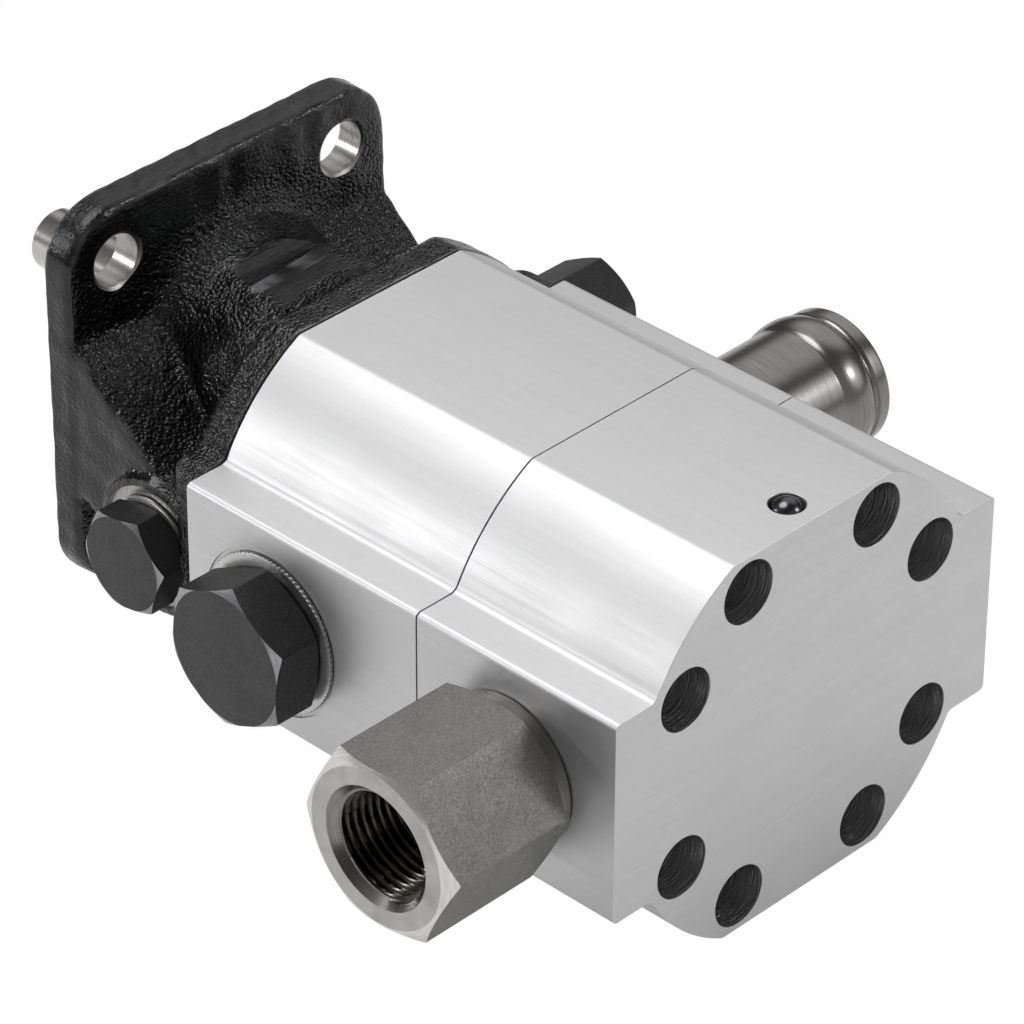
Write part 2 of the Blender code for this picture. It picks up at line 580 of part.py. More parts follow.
def front_body(parts, cutters, metal):
    """First-stage housing, open at both ends, with the inlet port and the check valve bore."""
    outline = housing_outline(BODY_HALF_WIDTH, BODY_HALF_HEIGHT, LUG_HALF_HEIGHT,
                              BARREL_RADIUS, LUG_CORNER_RADIUS, LUG_ROOT_RADIUS)
    item = slab("front_body", [outline], "Y", FRONT_START, FRONT_END, parts)
    before = FRONT_START - CUT_OVER
    beyond = FRONT_END + CUT_OVER
    tools = [slab("front_pocket", [figure_eight(POCKET_RADIUS)], "Y", before, beyond, cutters)]
    tools += screw_holes("front_screw_hole", before, beyond, cutters)
    seat = BODY_HALF_WIDTH - INLET_TUBE_SEAT
    inlet = [(0.0, BODY_HALF_WIDTH + CUT_OVER), (INLET_TUBE_RADIUS + SEAT_GAP, BODY_HALF_WIDTH + CUT_OVER),
             (INLET_TUBE_RADIUS + SEAT_GAP, seat), (INLET_PASSAGE_RADIUS, seat), (INLET_PASSAGE_RADIUS, 0.0),
             (0.0, 0.0)]
    tools.append(turned("inlet_port", inlet, "X", (0, INLET_STATION, 0), FINE_STEPS, cutters))
    face = -BODY_HALF_WIDTH
    spigot = face + CHECK_SPIGOT_LENGTH
    check = [(0.0, face - CUT_OVER), (CHECK_SPOTFACE_RADIUS, face - CUT_OVER),
             (CHECK_SPOTFACE_RADIUS, face + SPOTFACE_DEPTH),
             (CHECK_SPIGOT_RADIUS + SEAT_GAP, face + SPOTFACE_DEPTH),
             (CHECK_SPIGOT_RADIUS + SEAT_GAP, spigot),
             (CHECK_CHAMBER_RADIUS, spigot), (CHECK_CHAMBER_RADIUS, -CHECK_SEAT_REACH),
             (CHECK_PORT_RADIUS, -CHECK_SEAT_REACH), (CHECK_PORT_RADIUS, 0.0), (0.0, 0.0)]
    tools.append(turned("check_port", check, "X", (0, CHECK_STATION, CHECK_HEIGHT), FINE_STEPS, cutters))
    for side, station in ((-1, CHECK_STATION), (1, INLET_STATION)):
        tools.append(rod(f"front_transfer_{side}", TRANSFER_RADIUS, "Y", FRONT_START - CUT_OVER, station,
                         (side * TRANSFER_OFFSET, 0, 0), SMALL_STEPS, cutters))
    tools.append(seal_groove("front_seal_groove", FRONT_END, cutters))
    tools += dowel_holes("front_rear_dowel_hole", SEAM, cutters)
    tools += dowel_holes("front_dowel_hole", FRONT_END, cutters)
    combine(item, "DIFFERENCE", *tools)
    item.data.materials.append(metal)
    return item


def cover_gusset_outline():
    """Side view of the block under the neck: its top falls from the flange to the base plate."""
    inside = FLANGE_START + FLANGE_THICKNESS / 2
    base = COVER_START + COVER_BASE_THICKNESS / 2
    return [(inside, GUSSET_TOP), (FLANGE_START, GUSSET_TOP),
            (COVER_BASE_END + GUSSET_KNEE_RUN, GUSSET_KNEE_HEIGHT), (COVER_BASE_END, GUSSET_FOOT_HEIGHT),
            (base, GUSSET_FOOT_HEIGHT), (base, GUSSET_SOLE_HEIGHT), (COVER_BASE_END, GUSSET_SOLE_HEIGHT),
            (COVER_BASE_END + GUSSET_HEEL_RUN, GUSSET_HEEL_HEIGHT),
            (COVER_BASE_END + GUSSET_STEP_RUN, GUSSET_STEP_HEIGHT),
            (FLANGE_START, GUSSET_BOTTOM_HEIGHT), (inside, GUSSET_BOTTOM_HEIGHT)]


def neck_profile():
    """Neck round the shaft, from inside the base plate to inside the flange, with flared ends."""
    inside = FLANGE_START + FLANGE_THICKNESS / 2
    base = COVER_START + COVER_BASE_THICKNESS / 2
    flare = [(NECK_RADIUS + NECK_FLARE_WIDTH * share ** 2, FLANGE_START - NECK_FLARE_RUN * (1 - share))
             for share in NECK_FLARE_SHARES]
    root = [(NECK_ROOT_RADIUS, COVER_BASE_END - NECK_SKIN),
            (NECK_RADIUS + NECK_SKIN, COVER_BASE_END + NECK_ROOT_RUN)]
    return [(0.0, inside), (NECK_FLANGE_RADIUS, inside), (NECK_FLANGE_RADIUS, FLANGE_START - NECK_SKIN),
            *reversed(flare), *reversed(root), (NECK_ROOT_RADIUS, base), (0.0, base)]


def flange_hole_profile():
    """Bolt hole, chamfered at both faces of the flange."""
    wide = FLANGE_HOLE_RADIUS + FLANGE_HOLE_CHAMFER
    return [(0.0, FLANGE_FACE + CUT_OVER), (wide, FLANGE_FACE + CUT_OVER), (wide, FLANGE_FACE),
            (FLANGE_HOLE_RADIUS, FLANGE_FACE - FLANGE_HOLE_CHAMFER),
            (FLANGE_HOLE_RADIUS, FLANGE_START + FLANGE_HOLE_CHAMFER), (wide, FLANGE_START),
            (wide, FLANGE_START - CUT_OVER), (0.0, FLANGE_START - CUT_OVER)]


def front_cover(parts, cutters, iron):
    """Cast cover: base plate, neck, gusset block, valve barrel, mounting flange and pilot in one piece."""
    outline = housing_outline(COVER_EAR_HALF_WIDTH, COVER_HALF_HEIGHT, LUG_HALF_HEIGHT + COVER_PROUD,
                              BARREL_RADIUS + COVER_PROUD, COVER_CORNER_RADIUS, LUG_ROOT_RADIUS)
    item = slab("front_cover", [outline], "Y", COVER_START, COVER_BASE_END, parts)
    half = FLANGE_SIDE / 2
    corner_centre = half - FLANGE_CORNER_RADIUS
    corner = arc((corner_centre, corner_centre), FLANGE_CORNER_RADIUS, 0, math.pi / 2, 8)
    flange = slab("cover_flange", [shifted(mirrored(corner), 0, SHAFT_HEIGHT)], "Y",
                  FLANGE_START, FLANGE_FACE, cutters)
    edge = flange.modifiers.new("cast_edge", "BEVEL")
    edge.width = FLANGE_EDGE_RADIUS
    edge.segments = 2
    edge.limit_method = "ANGLE"
    edge.angle_limit = math.radians(60)
    inset = half - GUSSET_INSET
    gusset = slab("cover_gusset", [cover_gusset_outline()], "X", -inset, inset, cutters)
    neck = turned("cover_neck", neck_profile(), "Y", (0, 0, SHAFT_HEIGHT), FINE_STEPS, cutters)
    pilot = rod("cover_pilot", PILOT_RADIUS, "Y", FLANGE_START + FLANGE_THICKNESS / 2, PILOT_FACE,
                (0, 0, SHAFT_HEIGHT), FINE_STEPS, cutters)
    barrel = rod("cover_valve_barrel", VALVE_CAST_RADIUS, "X", -VALVE_LEFT_REACH - SPOTFACE_DEPTH,
                 VALVE_RIGHT_REACH, (0, VALVE_Y, VALVE_HEIGHT), FINE_STEPS, cutters)
    combine(item, "UNION", gusset, flange, neck, barrel, pilot)
    seal_bore = SEAL_RADIUS + SEAT_GAP
    ring_bore = SEAL_RADIUS + RETAINING_RING_DEPTH
    ring_end = RING_START + RETAINING_RING_THICKNESS + SEAT_GAP
    clear_bore = SHAFT_RADIUS + SHAFT_CLEARANCE
    bush_end = BUSH_END + SEAT_GAP
    bore = [(0.0, PILOT_FACE + CUT_OVER), (seal_bore, PILOT_FACE + CUT_OVER), (seal_bore, ring_end),
            (ring_bore, ring_end), (ring_bore, RING_START - SEAT_GAP), (seal_bore, RING_START - SEAT_GAP),
            (seal_bore, SEAL_START - SEAT_GAP), (clear_bore, SEAL_START - SEAT_GAP), (clear_bore, bush_end),
            (SHAFT_BORE_RADIUS, bush_end), (SHAFT_BORE_RADIUS, COVER_START - CUT_OVER),
            (0.0, COVER_START - CUT_OVER)]
    tools = [turned("cover_bore", bore, "Y", (0, 0, SHAFT_HEIGHT), ROUND_STEPS, cutters)]
    spring_end = VALVE_RIGHT_REACH + CUT_OVER
    spigot_end = -VALVE_LEFT_REACH + SMALL_SPIGOT_LENGTH + SEAT_GAP
    valve = [(0.0, spring_end), (VALVE_CHAMBER_RADIUS, spring_end),
             (VALVE_CHAMBER_RADIUS, VALVE_CHAMBER_START),
             (VALVE_BORE_RADIUS, VALVE_CHAMBER_START), (VALVE_BORE_RADIUS, spigot_end),
             (SMALL_SPIGOT_RADIUS + SEAT_GAP, spigot_end),
             (SMALL_SPIGOT_RADIUS + SEAT_GAP, -VALVE_LEFT_REACH),
             (SMALL_SPOTFACE_RADIUS, -VALVE_LEFT_REACH),
             (SMALL_SPOTFACE_RADIUS, -VALVE_LEFT_REACH - CUT_OVER),
             (0.0, -VALVE_LEFT_REACH - CUT_OVER)]
    tools.append(turned("valve_bore", valve, "X", (0, VALVE_Y, VALVE_HEIGHT), ROUND_STEPS, cutters))
    for side in (-1, 1):
        tools.append(rod(f"valve_port_{side}", VALVE_PORT_RADIUS, "Y", COVER_START - CUT_OVER, VALVE_Y,
                         (side * VALVE_PORT_OFFSET, 0, VALVE_HEIGHT), SMALL_STEPS, cutters))
    tap_end = COVER_START + SCREW_ENGAGEMENT + SEAT_GAP
    tools += screw_holes("cover_screw_hole", COVER_START - CUT_OVER, tap_end, cutters)
    tools += dowel_holes("cover_dowel_hole", FRONT_END, cutters)
    for index, (sign_x, sign_z) in enumerate(((-1, -1), (-1, 1), (1, -1), (1, 1))):
        centre = (sign_x * FLANGE_HOLE_SPACING / 2, 0, SHAFT_HEIGHT + sign_z * FLANGE_HOLE_SPACING / 2)
        tools.append(turned(f"flange_hole_{index}", flange_hole_profile(), "Y", centre, ROUND_STEPS, cutters))
    combine(item, "DIFFERENCE", *tools)
    item.data.materials.append(iron)
    return item


def drive_shaft(parts, cutters, steel):
    """Stepped shaft: journals through both stages, a plain end through the seal, and a keyseat."""
    start = REAR_WALL + 2 * SEAT_GAP
    shoulder = COVER_START + SHAFT_SHOULDER
    profile = [(0.0, SHAFT_END), (SHAFT_RADIUS - SHAFT_CHAMFER, SHAFT_END),
               (SHAFT_RADIUS, SHAFT_END - SHAFT_CHAMFER),
               (SHAFT_RADIUS, shoulder), (JOURNAL_RADIUS, shoulder), (JOURNAL_RADIUS, start), (0.0, start)]
    item = turned("drive_shaft", profile, "Y", (0, 0, SHAFT_HEIGHT), FINE_STEPS, parts)
    key_end = SHAFT_END - KEY_SETBACK
    half = KEY_SIZE / 2 + HALF_KEY_GAP
    low = (SHAFT_RADIUS - KEY_SIZE / 2, key_end - KEY_LENGTH - SEAT_GAP, SHAFT_HEIGHT - half)
    high = (SHAFT_RADIUS + KEY_SIZE, key_end + SEAT_GAP, SHAFT_HEIGHT + half)
    seat = block("keyseat", low, high, cutters)
    combine(item, "DIFFERENCE", seat)
    item.data.materials.append(steel)
    return item


def shaft_key(parts, steel):
    """Square key, half in the shaft, on the side away from the outlet."""
    key_end = SHAFT_END - KEY_SETBACK
    inner = SHAFT_RADIUS - KEY_SIZE / 2 + HALF_KEY_GAP
    half = KEY_SIZE / 2 - HALF_KEY_GAP
    item = block("shaft_key", (inner, key_end - KEY_LENGTH, SHAFT_HEIGHT - half),
                 (inner + KEY_SIZE, key_end, SHAFT_HEIGHT + half), parts)
    item.data.materials.append(steel)
    return item


def gear(name, start, end, height, phase, parts, steel):
    """Spur gear with a bore for its shaft."""
    outlines = [gear_outline(phase), circle(JOURNAL_RADIUS + RUNNING_GAP, (0, 0), ROUND_STEPS)]
    item = slab(name, [shifted(points, 0, height) for points in outlines], "Y",
                start, end, parts)
    item.data.materials.append(steel)
    return item


def idler_shaft(name, start, end, parts, steel):
    """Journal of a driven gear, chamfered at both ends."""
    chamfer = SHAFT_CHAMFER
    profile = [(0.0, end), (JOURNAL_RADIUS - chamfer, end), (JOURNAL_RADIUS, end - chamfer),
               (JOURNAL_RADIUS, start + chamfer), (JOURNAL_RADIUS - chamfer, start), (0.0, start)]
    item = turned(name, profile, "Y", (0, 0, -SHAFT_HEIGHT), ROUND_STEPS, parts)
    item.data.materials.append(steel)
    return item


def bearing_block(name, start, end, parts, alloy):
    """Figure-eight block that carries both journals beside a gear pair."""
    bore = JOURNAL_RADIUS + RUNNING_GAP
    outlines = [figure_eight(BLOCK_RADIUS), circle(bore, (0, SHAFT_HEIGHT), ROUND_STEPS),
                circle(bore, (0, -SHAFT_HEIGHT), ROUND_STEPS)]
    item = slab(name, outlines, "Y", start, end, parts)
    item.data.materials.append(alloy)
    return item


def face_seal(name, face, parts, rubber):
    """Figure-eight seal lying in its groove."""
    inner = POCKET_RADIUS + SEAL_GROOVE_INSET + SEAT_GAP
    outer = POCKET_RADIUS + SEAL_GROOVE_INSET + SEAL_GROOVE_WIDTH - SEAT_GAP
    start = face - SEAL_GROOVE_DEPTH + SEAT_GAP
    outlines = [figure_eight(outer, SEAL_STEPS), figure_eight(inner, SEAL_STEPS)]
    item = slab(name, outlines, "Y", start, face - SEAL_RECESS, parts)
    item.data.materials.append(rubber)
    return item


def transfer_seals(parts, rubber):
    """Two round seals about the passages that cross the seam."""
    inner = TRANSFER_SEAL_RADIUS - TRANSFER_SEAL_WIDTH + SEAT_GAP
    profile = ring_profile(inner, TRANSFER_SEAL_RADIUS - SEAT_GAP,
                           SEAM - SEAL_GROOVE_DEPTH + SEAT_GAP, SEAM - SEAL_RECESS)
    for name, side in (("outlet_transfer_seal", -1), ("inlet_transfer_seal", 1)):
        seal = turned(name, profile, "Y", (side * TRANSFER_OFFSET, 0, 0), SMALL_STEPS, parts)
        seal.data.materials.append(rubber)


def dowel_pins(parts, steel):
    """Four dowels, two across each joint face."""
    for joint, face in (("body", SEAM + SEAT_GAP / 2), ("cover", FRONT_END + SEAT_GAP / 2)):
        for hand, side in (("left", -1), ("right", 1)):
            pin = rod(f"{joint}_dowel_{hand}", DOWEL_RADIUS, "Y", face - DOWEL_LENGTH / 2,
                      face + DOWEL_LENGTH / 2, (side * DOWEL_OFFSET, 0, 0), SMALL_STEPS, parts)
            pin.data.materials.append(steel)


def body_screws(parts, cutters, steel):
    """Eight socket-head screws, each head at the floor of its counterbore."""
    seat = COUNTERBORE_DEPTH - SEAT_GAP
    top = seat - SCREW_HEAD_HEIGHT
    tip = COVER_START + SCREW_ENGAGEMENT
    profile = [(0.0, tip), (SCREW_RADIUS - SHAFT_CHAMFER, tip), (SCREW_RADIUS, tip - SHAFT_CHAMFER),
               (SCREW_RADIUS, seat), (SCREW_HEAD_RADIUS, seat), (SCREW_HEAD_RADIUS, top), (0.0, top)]
    corner = SCREW_SOCKET_FLATS / math.sqrt(3)
    for index, (x, z) in enumerate(screw_positions(), start=1):
        screw = turned(f"body_screw_{index}", profile, "Y", (x, 0, z), SMALL_STEPS, parts)
        socket = rod(f"screw_socket_{index}", corner, "Y", top - SCREW_SOCKET_DEPTH, top + SCREW_SOCKET_DEPTH,
                     (x, 0, z), 6, cutters)
        combine(screw, "DIFFERENCE", socket)
        screw.data.materials.append(steel)


def hexagon(name, flats, face, start, end, centre, turn, target, cutters):
    """Hexagonal bar along X, one corner turned from +Y towards +Z, with both ends chamfered on a lathe."""
    corner = flats / math.sqrt(3)
    low, high = min(start, end), max(start, end)
    shape = bmesh.new()
    bmesh.ops.create_cone(shape, cap_ends=True, segments=6, radius1=corner, radius2=corner, depth=high - low,
                          matrix=Matrix.Rotation(turn, 4, "Z"))
    mesh = bpy.data.meshes.new(name)
    shape.to_mesh(mesh)
    shape.free()
    item = link(bpy.data.objects.new(name, mesh), name, target)
    item.location = place(*centre) + ALONG["X"] * (low + high) / 2
    item.rotation_euler = TURN_AXIS["X"]
    wide = corner + HEXAGON_OVERLAP
    depth = (wide - face) * math.tan(HEXAGON_CHAMFER)
    profile = [(0.0, high), (face, high), (wide, high - depth), (wide, low + depth), (face, low), (0.0, low)]
    combine(item, "INTERSECT", turned(f"{name}_turned", profile, "X", centre, FINE_STEPS, cutters))
    return item


def outlet_fitting(parts, cutters, steel):
    """Hexagonal outlet adapter with a threaded mouth, a round collar and a spigot in the body."""
    centre = (0, OUTLET_STATION, 0)
    face = -BODY_HALF_WIDTH - SEAT_GAP
    hexagon_end = -OUTLET_REACH + OUTLET_HEX_LENGTH
    item = hexagon("outlet_fitting", OUTLET_FLATS, OUTLET_FACE_RADIUS, -OUTLET_REACH, hexagon_end, centre,
                   OUTLET_TURN, parts, cutters)
    spigot_end = -BODY_HALF_WIDTH + OUTLET_SPIGOT_LENGTH
    collar = [(0.0, spigot_end), (OUTLET_SPIGOT_RADIUS, spigot_end), (OUTLET_SPIGOT_RADIUS, face),
              (OUTLET_COLLAR_RADIUS - OUTLET_COLLAR_CHAMFER, face),
              (OUTLET_COLLAR_RADIUS, face - OUTLET_COLLAR_CHAMFER),
              (OUTLET_COLLAR_RADIUS, hexagon_end - HEXAGON_OVERLAP), (0.0, hexagon_end - HEXAGON_OVERLAP)]
    combine(item, "UNION", turned("outlet_collar", collar, "X", centre, FINE_STEPS, cutters))
    mouth = [(0.0, -OUTLET_REACH - CUT_OVER), (OUTLET_RIM_RADIUS + CUT_OVER, -OUTLET_REACH - CUT_OVER),
             (OUTLET_RIM_RADIUS, -OUTLET_REACH), (OUTLET_THREAD_RADIUS, -OUTLET_REACH + OUTLET_RIM_DEPTH),
             (OUTLET_THREAD_RADIUS - OUTLET_THREAD_TAPER, -OUTLET_REACH + OUTLET_THREAD_DEPTH),
             (OUTLET_PASSAGE_RADIUS, -OUTLET_REACH + OUTLET_THREAD_DEPTH), (OUTLET_PASSAGE_RADIUS, 0.0),
             (0.0, 0.0)]
    combine(item, "DIFFERENCE", turned("outlet_mouth", mouth, "X", centre, ROUND_STEPS, cutters))
    item.data.materials.append(steel)
    return item


def inlet_tube(parts, steel):
    """Suction tube with a rolled bead near its open end."""
    outer = INLET_TUBE_RADIUS
    bead = INLET_BEAD_RADIUS
    inner = outer - INLET_TUBE_WALL
    first = INLET_BEAD_START
    last = first + INLET_BEAD_WIDTH
    seat = BODY_HALF_WIDTH - INLET_TUBE_SEAT + SEAT_GAP
    rise = bead - outer
    reach = INLET_TUBE_REACH
    swell = [(outer + rise * math.sin(a), first + INLET_BEAD_WIDTH * (1 - math.cos(a)) / 2)
             for a in (math.pi * index / 6 for index in range(1, 6))]
    profile = [(outer, seat), (outer, first)] + swell + [(outer - INLET_BEAD_NECK, last + INLET_BEAD_NECK),
               (outer, last + INLET_BEAD_NECK_WIDTH), (outer, reach - INLET_RIM_ROUND),
               (outer - INLET_RIM_ROUND, reach), (inner + INLET_RIM_BREAK, reach),
               (inner, reach - INLET_RIM_BREAK),
               (inner, seat)]
    item = turned("inlet_tube", profile, "X", (0, INLET_STATION, 0), FINE_STEPS, parts)
    item.data.materials.append(steel)
    return item


def washer(name, inner, outer, start, side, centre, parts, metal):
    """Flat sealing washer lying against a face; side is -1 or +1 along X."""
    end = start + side * WASHER_THICKNESS
    profile = ring_profile(inner, outer, min(start, end), max(start, end))
    item = turned(name, profile, "X", centre, FINE_STEPS, parts)
    item.data.materials.append(metal)
    return item


def check_valve(parts, cutters, finishes):
    """Large side plug with its washer, and the spring-loaded poppet that it closes in."""
    centre = (0, CHECK_STATION, CHECK_HEIGHT)
    floor = -BODY_HALF_WIDTH + SPOTFACE_DEPTH - SEAT_GAP
    washer("check_plug_washer", CHECK_SPIGOT_RADIUS + SEAT_GAP, CHECK_WASHER_RADIUS, floor, -1, centre,
           parts, finishes["washer"])
    head_end = floor - WASHER_THICKNESS - SEAT_GAP
    plug = hexagon("check_valve_plug", CHECK_PLUG_FLATS, CHECK_FACE_RADIUS,
                   head_end - CHECK_PLUG_HEIGHT, head_end, centre, CHECK_PLUG_TURN, parts, cutters)
    pocket = CHECK_SPRING_RADIUS + CHECK_SPRING_ROOM
    nose = -BODY_HALF_WIDTH + CHECK_SPIGOT_LENGTH - SEAT_GAP
    spigot = [(0.0, nose - CHECK_SPRING_POCKET), (pocket, nose - CHECK_SPRING_POCKET),
              (pocket, nose), (CHECK_SPIGOT_RADIUS - SHAFT_CHAMFER, nose),
              (CHECK_SPIGOT_RADIUS, nose - SHAFT_CHAMFER), (CHECK_SPIGOT_RADIUS, head_end - HEXAGON_OVERLAP),
              (0.0, head_end - HEXAGON_OVERLAP)]
    combine(plug, "UNION", turned("check_plug_spigot", spigot, "X", centre, ROUND_STEPS, cutters))
    plug.data.materials.append(finishes["black_oxide"])
    seat = -CHECK_SEAT_REACH - SEAT_GAP
    back = seat - POPPET_THICKNESS
    tail = back - POPPET_STEM_LENGTH
    poppet = [(0.0, tail), (POPPET_STEM_RADIUS, tail), (POPPET_STEM_RADIUS, back), (POPPET_RADIUS, back),
              (POPPET_RADIUS, seat - POPPET_CHAMFER), (POPPET_RADIUS - POPPET_CHAMFER, seat), (0.0, seat)]
    item = turned("check_valve_poppet", poppet, "X", centre, SMALL_STEPS, parts)
    item.data.materials.append(finishes["steel"])
    spring("check_valve_spring", CHECK_SPRING_RADIUS, CHECK_SPRING_WIRE,
           nose - CHECK_SPRING_POCKET + SEAT_GAP, back - SEAT_GAP, centre, parts, finishes["spring"])


def spring(name, radius, wire, start, end, centre, parts, steel):
    """Round-wire helix along X that starts and ends a wire radius inside its two stations."""
    first = start + wire
    last = end - wire
    count = SPRING_TURNS * SPRING_POINTS_PER_TURN
    curve = bpy.data.curves.new(name, "CURVE")
    curve.dimensions = "3D"
    curve.bevel_depth = wire
    curve.bevel_resolution = 2
    curve.use_fill_caps = True
    spline = curve.splines.new("POLY")
    spline.points.add(count)
    for index, point in enumerate(spline.points):
        angle = 2 * math.pi * index / SPRING_POINTS_PER_TURN
        along = first + (last - first) * index / count
        point.co = (along, radius * math.cos(angle), radius * math.sin(angle), 1.0)
    item = link(bpy.data.objects.new(name, curve), name, parts)
    item.location = place(*centre)
    item = solid_mesh(item, parts)
    item.data.materials.append(steel)
    return item


def unloading_valve(parts, cutters, finishes):
    """Spool in the cover, with a small plug at one end and a spring and cap at the other."""
    centre = (0, VALVE_Y, VALVE_HEIGHT)
    left = -VALVE_LEFT_REACH - SEAT_GAP
    washer("small_plug_washer", SMALL_SPIGOT_RADIUS + SEAT_GAP, SMALL_WASHER_RADIUS, left, -1, centre,
           parts, finishes["washer"])
    head_end = left - WASHER_THICKNESS - SEAT_GAP
    plug = hexagon("small_plug", SMALL_PLUG_FLATS, SMALL_FACE_RADIUS, head_end - SMALL_PLUG_HEIGHT, head_end,
                   centre, SMALL_PLUG_TURN, parts, cutters)
    nose = -VALVE_LEFT_REACH + SMALL_SPIGOT_LENGTH
    combine(plug, "UNION", rod("small_plug_spigot", SMALL_SPIGOT_RADIUS, "X", head_end - HEXAGON_OVERLAP,
                               nose, centre, ROUND_STEPS, cutters))
    plug.data.materials.append(finishes["black_oxide"])
    right = VALVE_RIGHT_REACH + SEAT_GAP
    spigot_radius = VALVE_CHAMBER_RADIUS - SEAT_GAP
    washer("valve_cap_washer", VALVE_CHAMBER_RADIUS, CAP_WASHER_RADIUS, right, 1, centre, parts,
           finishes["washer"])
    cap_start = right + WASHER_THICKNESS + SEAT_GAP
    cap = hexagon("valve_cap", CAP_FLATS, CAP_FACE_RADIUS, cap_start, cap_start + CAP_HEIGHT,
                  centre, CAP_TURN, parts, cutters)
    cap_nose = VALVE_RIGHT_REACH - CAP_SPIGOT_LENGTH
    combine(cap, "UNION", rod("valve_cap_spigot", spigot_radius, "X", cap_nose, cap_start + HEXAGON_OVERLAP,
                              centre, ROUND_STEPS, cutters))
    cap.data.materials.append(finishes["black_oxide"])
    first = nose + SEAT_GAP
    last = VALVE_CHAMBER_START
    waist = SPOOL_WAIST_RADIUS
    profile = [(0.0, last), (SPOOL_RADIUS, last), (SPOOL_RADIUS, last - SPOOL_LAND),
               (waist, last - SPOOL_LAND), (waist, first + SPOOL_LAND),
               (SPOOL_RADIUS, first + SPOOL_LAND), (SPOOL_RADIUS, first), (0.0, first)]
    spool = turned("unloading_spool", profile, "X", centre, ROUND_STEPS, parts)
    spool.data.materials.append(finishes["steel"])
    spring("unloading_spring", VALVE_SPRING_RADIUS, VALVE_SPRING_WIRE, last + SEAT_GAP, cap_nose - SEAT_GAP,
           centre, parts, finishes["spring"])


def shaft_support(parts, finishes):
    """Plain bush, lip seal and retaining ring round the shaft in the cover."""
    centre = (0, 0, SHAFT_HEIGHT)
    running = SHAFT_RADIUS + RUNNING_GAP
    bush_profile = ring_profile(running, SHAFT_BORE_RADIUS - RUNNING_GAP, BUSH_END - BUSH_LENGTH, BUSH_END)
    bush = turned("cover_bush", bush_profile, "Y", centre, ROUND_STEPS, parts)
    bush.data.materials.append(finishes["bronze"])
    end = SEAL_START + SEAL_WIDTH
    shell = SEAL_RADIUS - SEAL_SHELL
    root = running + SEAL_LIP_RISE
    lip = [(SEAL_RADIUS, end), (SEAL_RADIUS, SEAL_START), (shell, SEAL_START), (shell, end - SEAL_SHELL),
           (root, end - SEAL_SHELL), (root, SEAL_START + SEAL_SHELL / 2), (running, SEAL_START + SEAL_SHELL),
           (running + SEAL_LIP_RISE / 2, end - SEAL_SHELL / 2), (root, end)]
    seal = turned("shaft_seal", lip, "Y", centre, ROUND_STEPS, parts)
    seal.data.materials.append(finishes["rubber"])
    ring_outer = SEAL_RADIUS + RETAINING_RING_DEPTH - SEAT_GAP
    ring_inner = SEAL_RADIUS + RETAINING_RING_DEPTH - RETAINING_RING_WIDTH
    ring = turned("retaining_ring", ring_profile(ring_inner, ring_outer, RING_START,
                                                 RING_START + RETAINING_RING_THICKNESS), "Y", centre,
                  ROUND_STEPS, parts)
    ring.data.materials.append(finishes["black_oxide"])


def ball_plug(parts, steel):
    """Steel ball pressed into the mouth of the drain drilling."""
    shape = bmesh.new()
    bmesh.ops.create_uvsphere(shape, u_segments=SMALL_STEPS, v_segments=SMALL_STEPS // 2, radius=BALL_RADIUS)
    mesh = bpy.data.meshes.new("ball_plug")
    shape.to_mesh(mesh)
    shape.free()
    item = link(bpy.data.objects.new("ball_plug", mesh), "ball_plug", parts)
    item.location = place(0, BALL_STATION, BODY_HALF_HEIGHT - BALL_SINK - BALL_RADIUS + SEAT_GAP)
    item.data.materials.append(steel)
    return item


def finishes_of_pump():
    return {
        "aluminium": material("milled_aluminium", (0.72, 0.72, 0.73), 0.35, 0.9),
        "iron": material("painted_cast_iron", (0.012, 0.012, 0.013), 0.35, 0.0),
        "steel": material("ground_steel", (0.55, 0.55, 0.56), 0.2, 1.0),
        "plated": material("plated_steel", (0.6, 0.6, 0.6), 0.15, 1.0),
        "zinc": material("plain_steel", (0.3, 0.3, 0.3), 0.4, 1.0),
        "black_oxide": material("black_oxide_steel", (0.03, 0.03, 0.03), 0.4, 0.8),
        "washer": material("washer_steel", (0.5, 0.5, 0.5), 0.4, 0.9),
        "bronze": material("bronze", (0.45, 0.3, 0.14), 0.4, 1.0),
        "alloy": material("bearing_alloy", (0.5, 0.5, 0.52), 0.4, 0.9),
        "rubber": material("nitrile_rubber", (0.02, 0.02, 0.02), 0.6, 0.0),
        "spring": material("spring_steel", (0.25, 0.25, 0.25), 0.35, 1.0),
    }


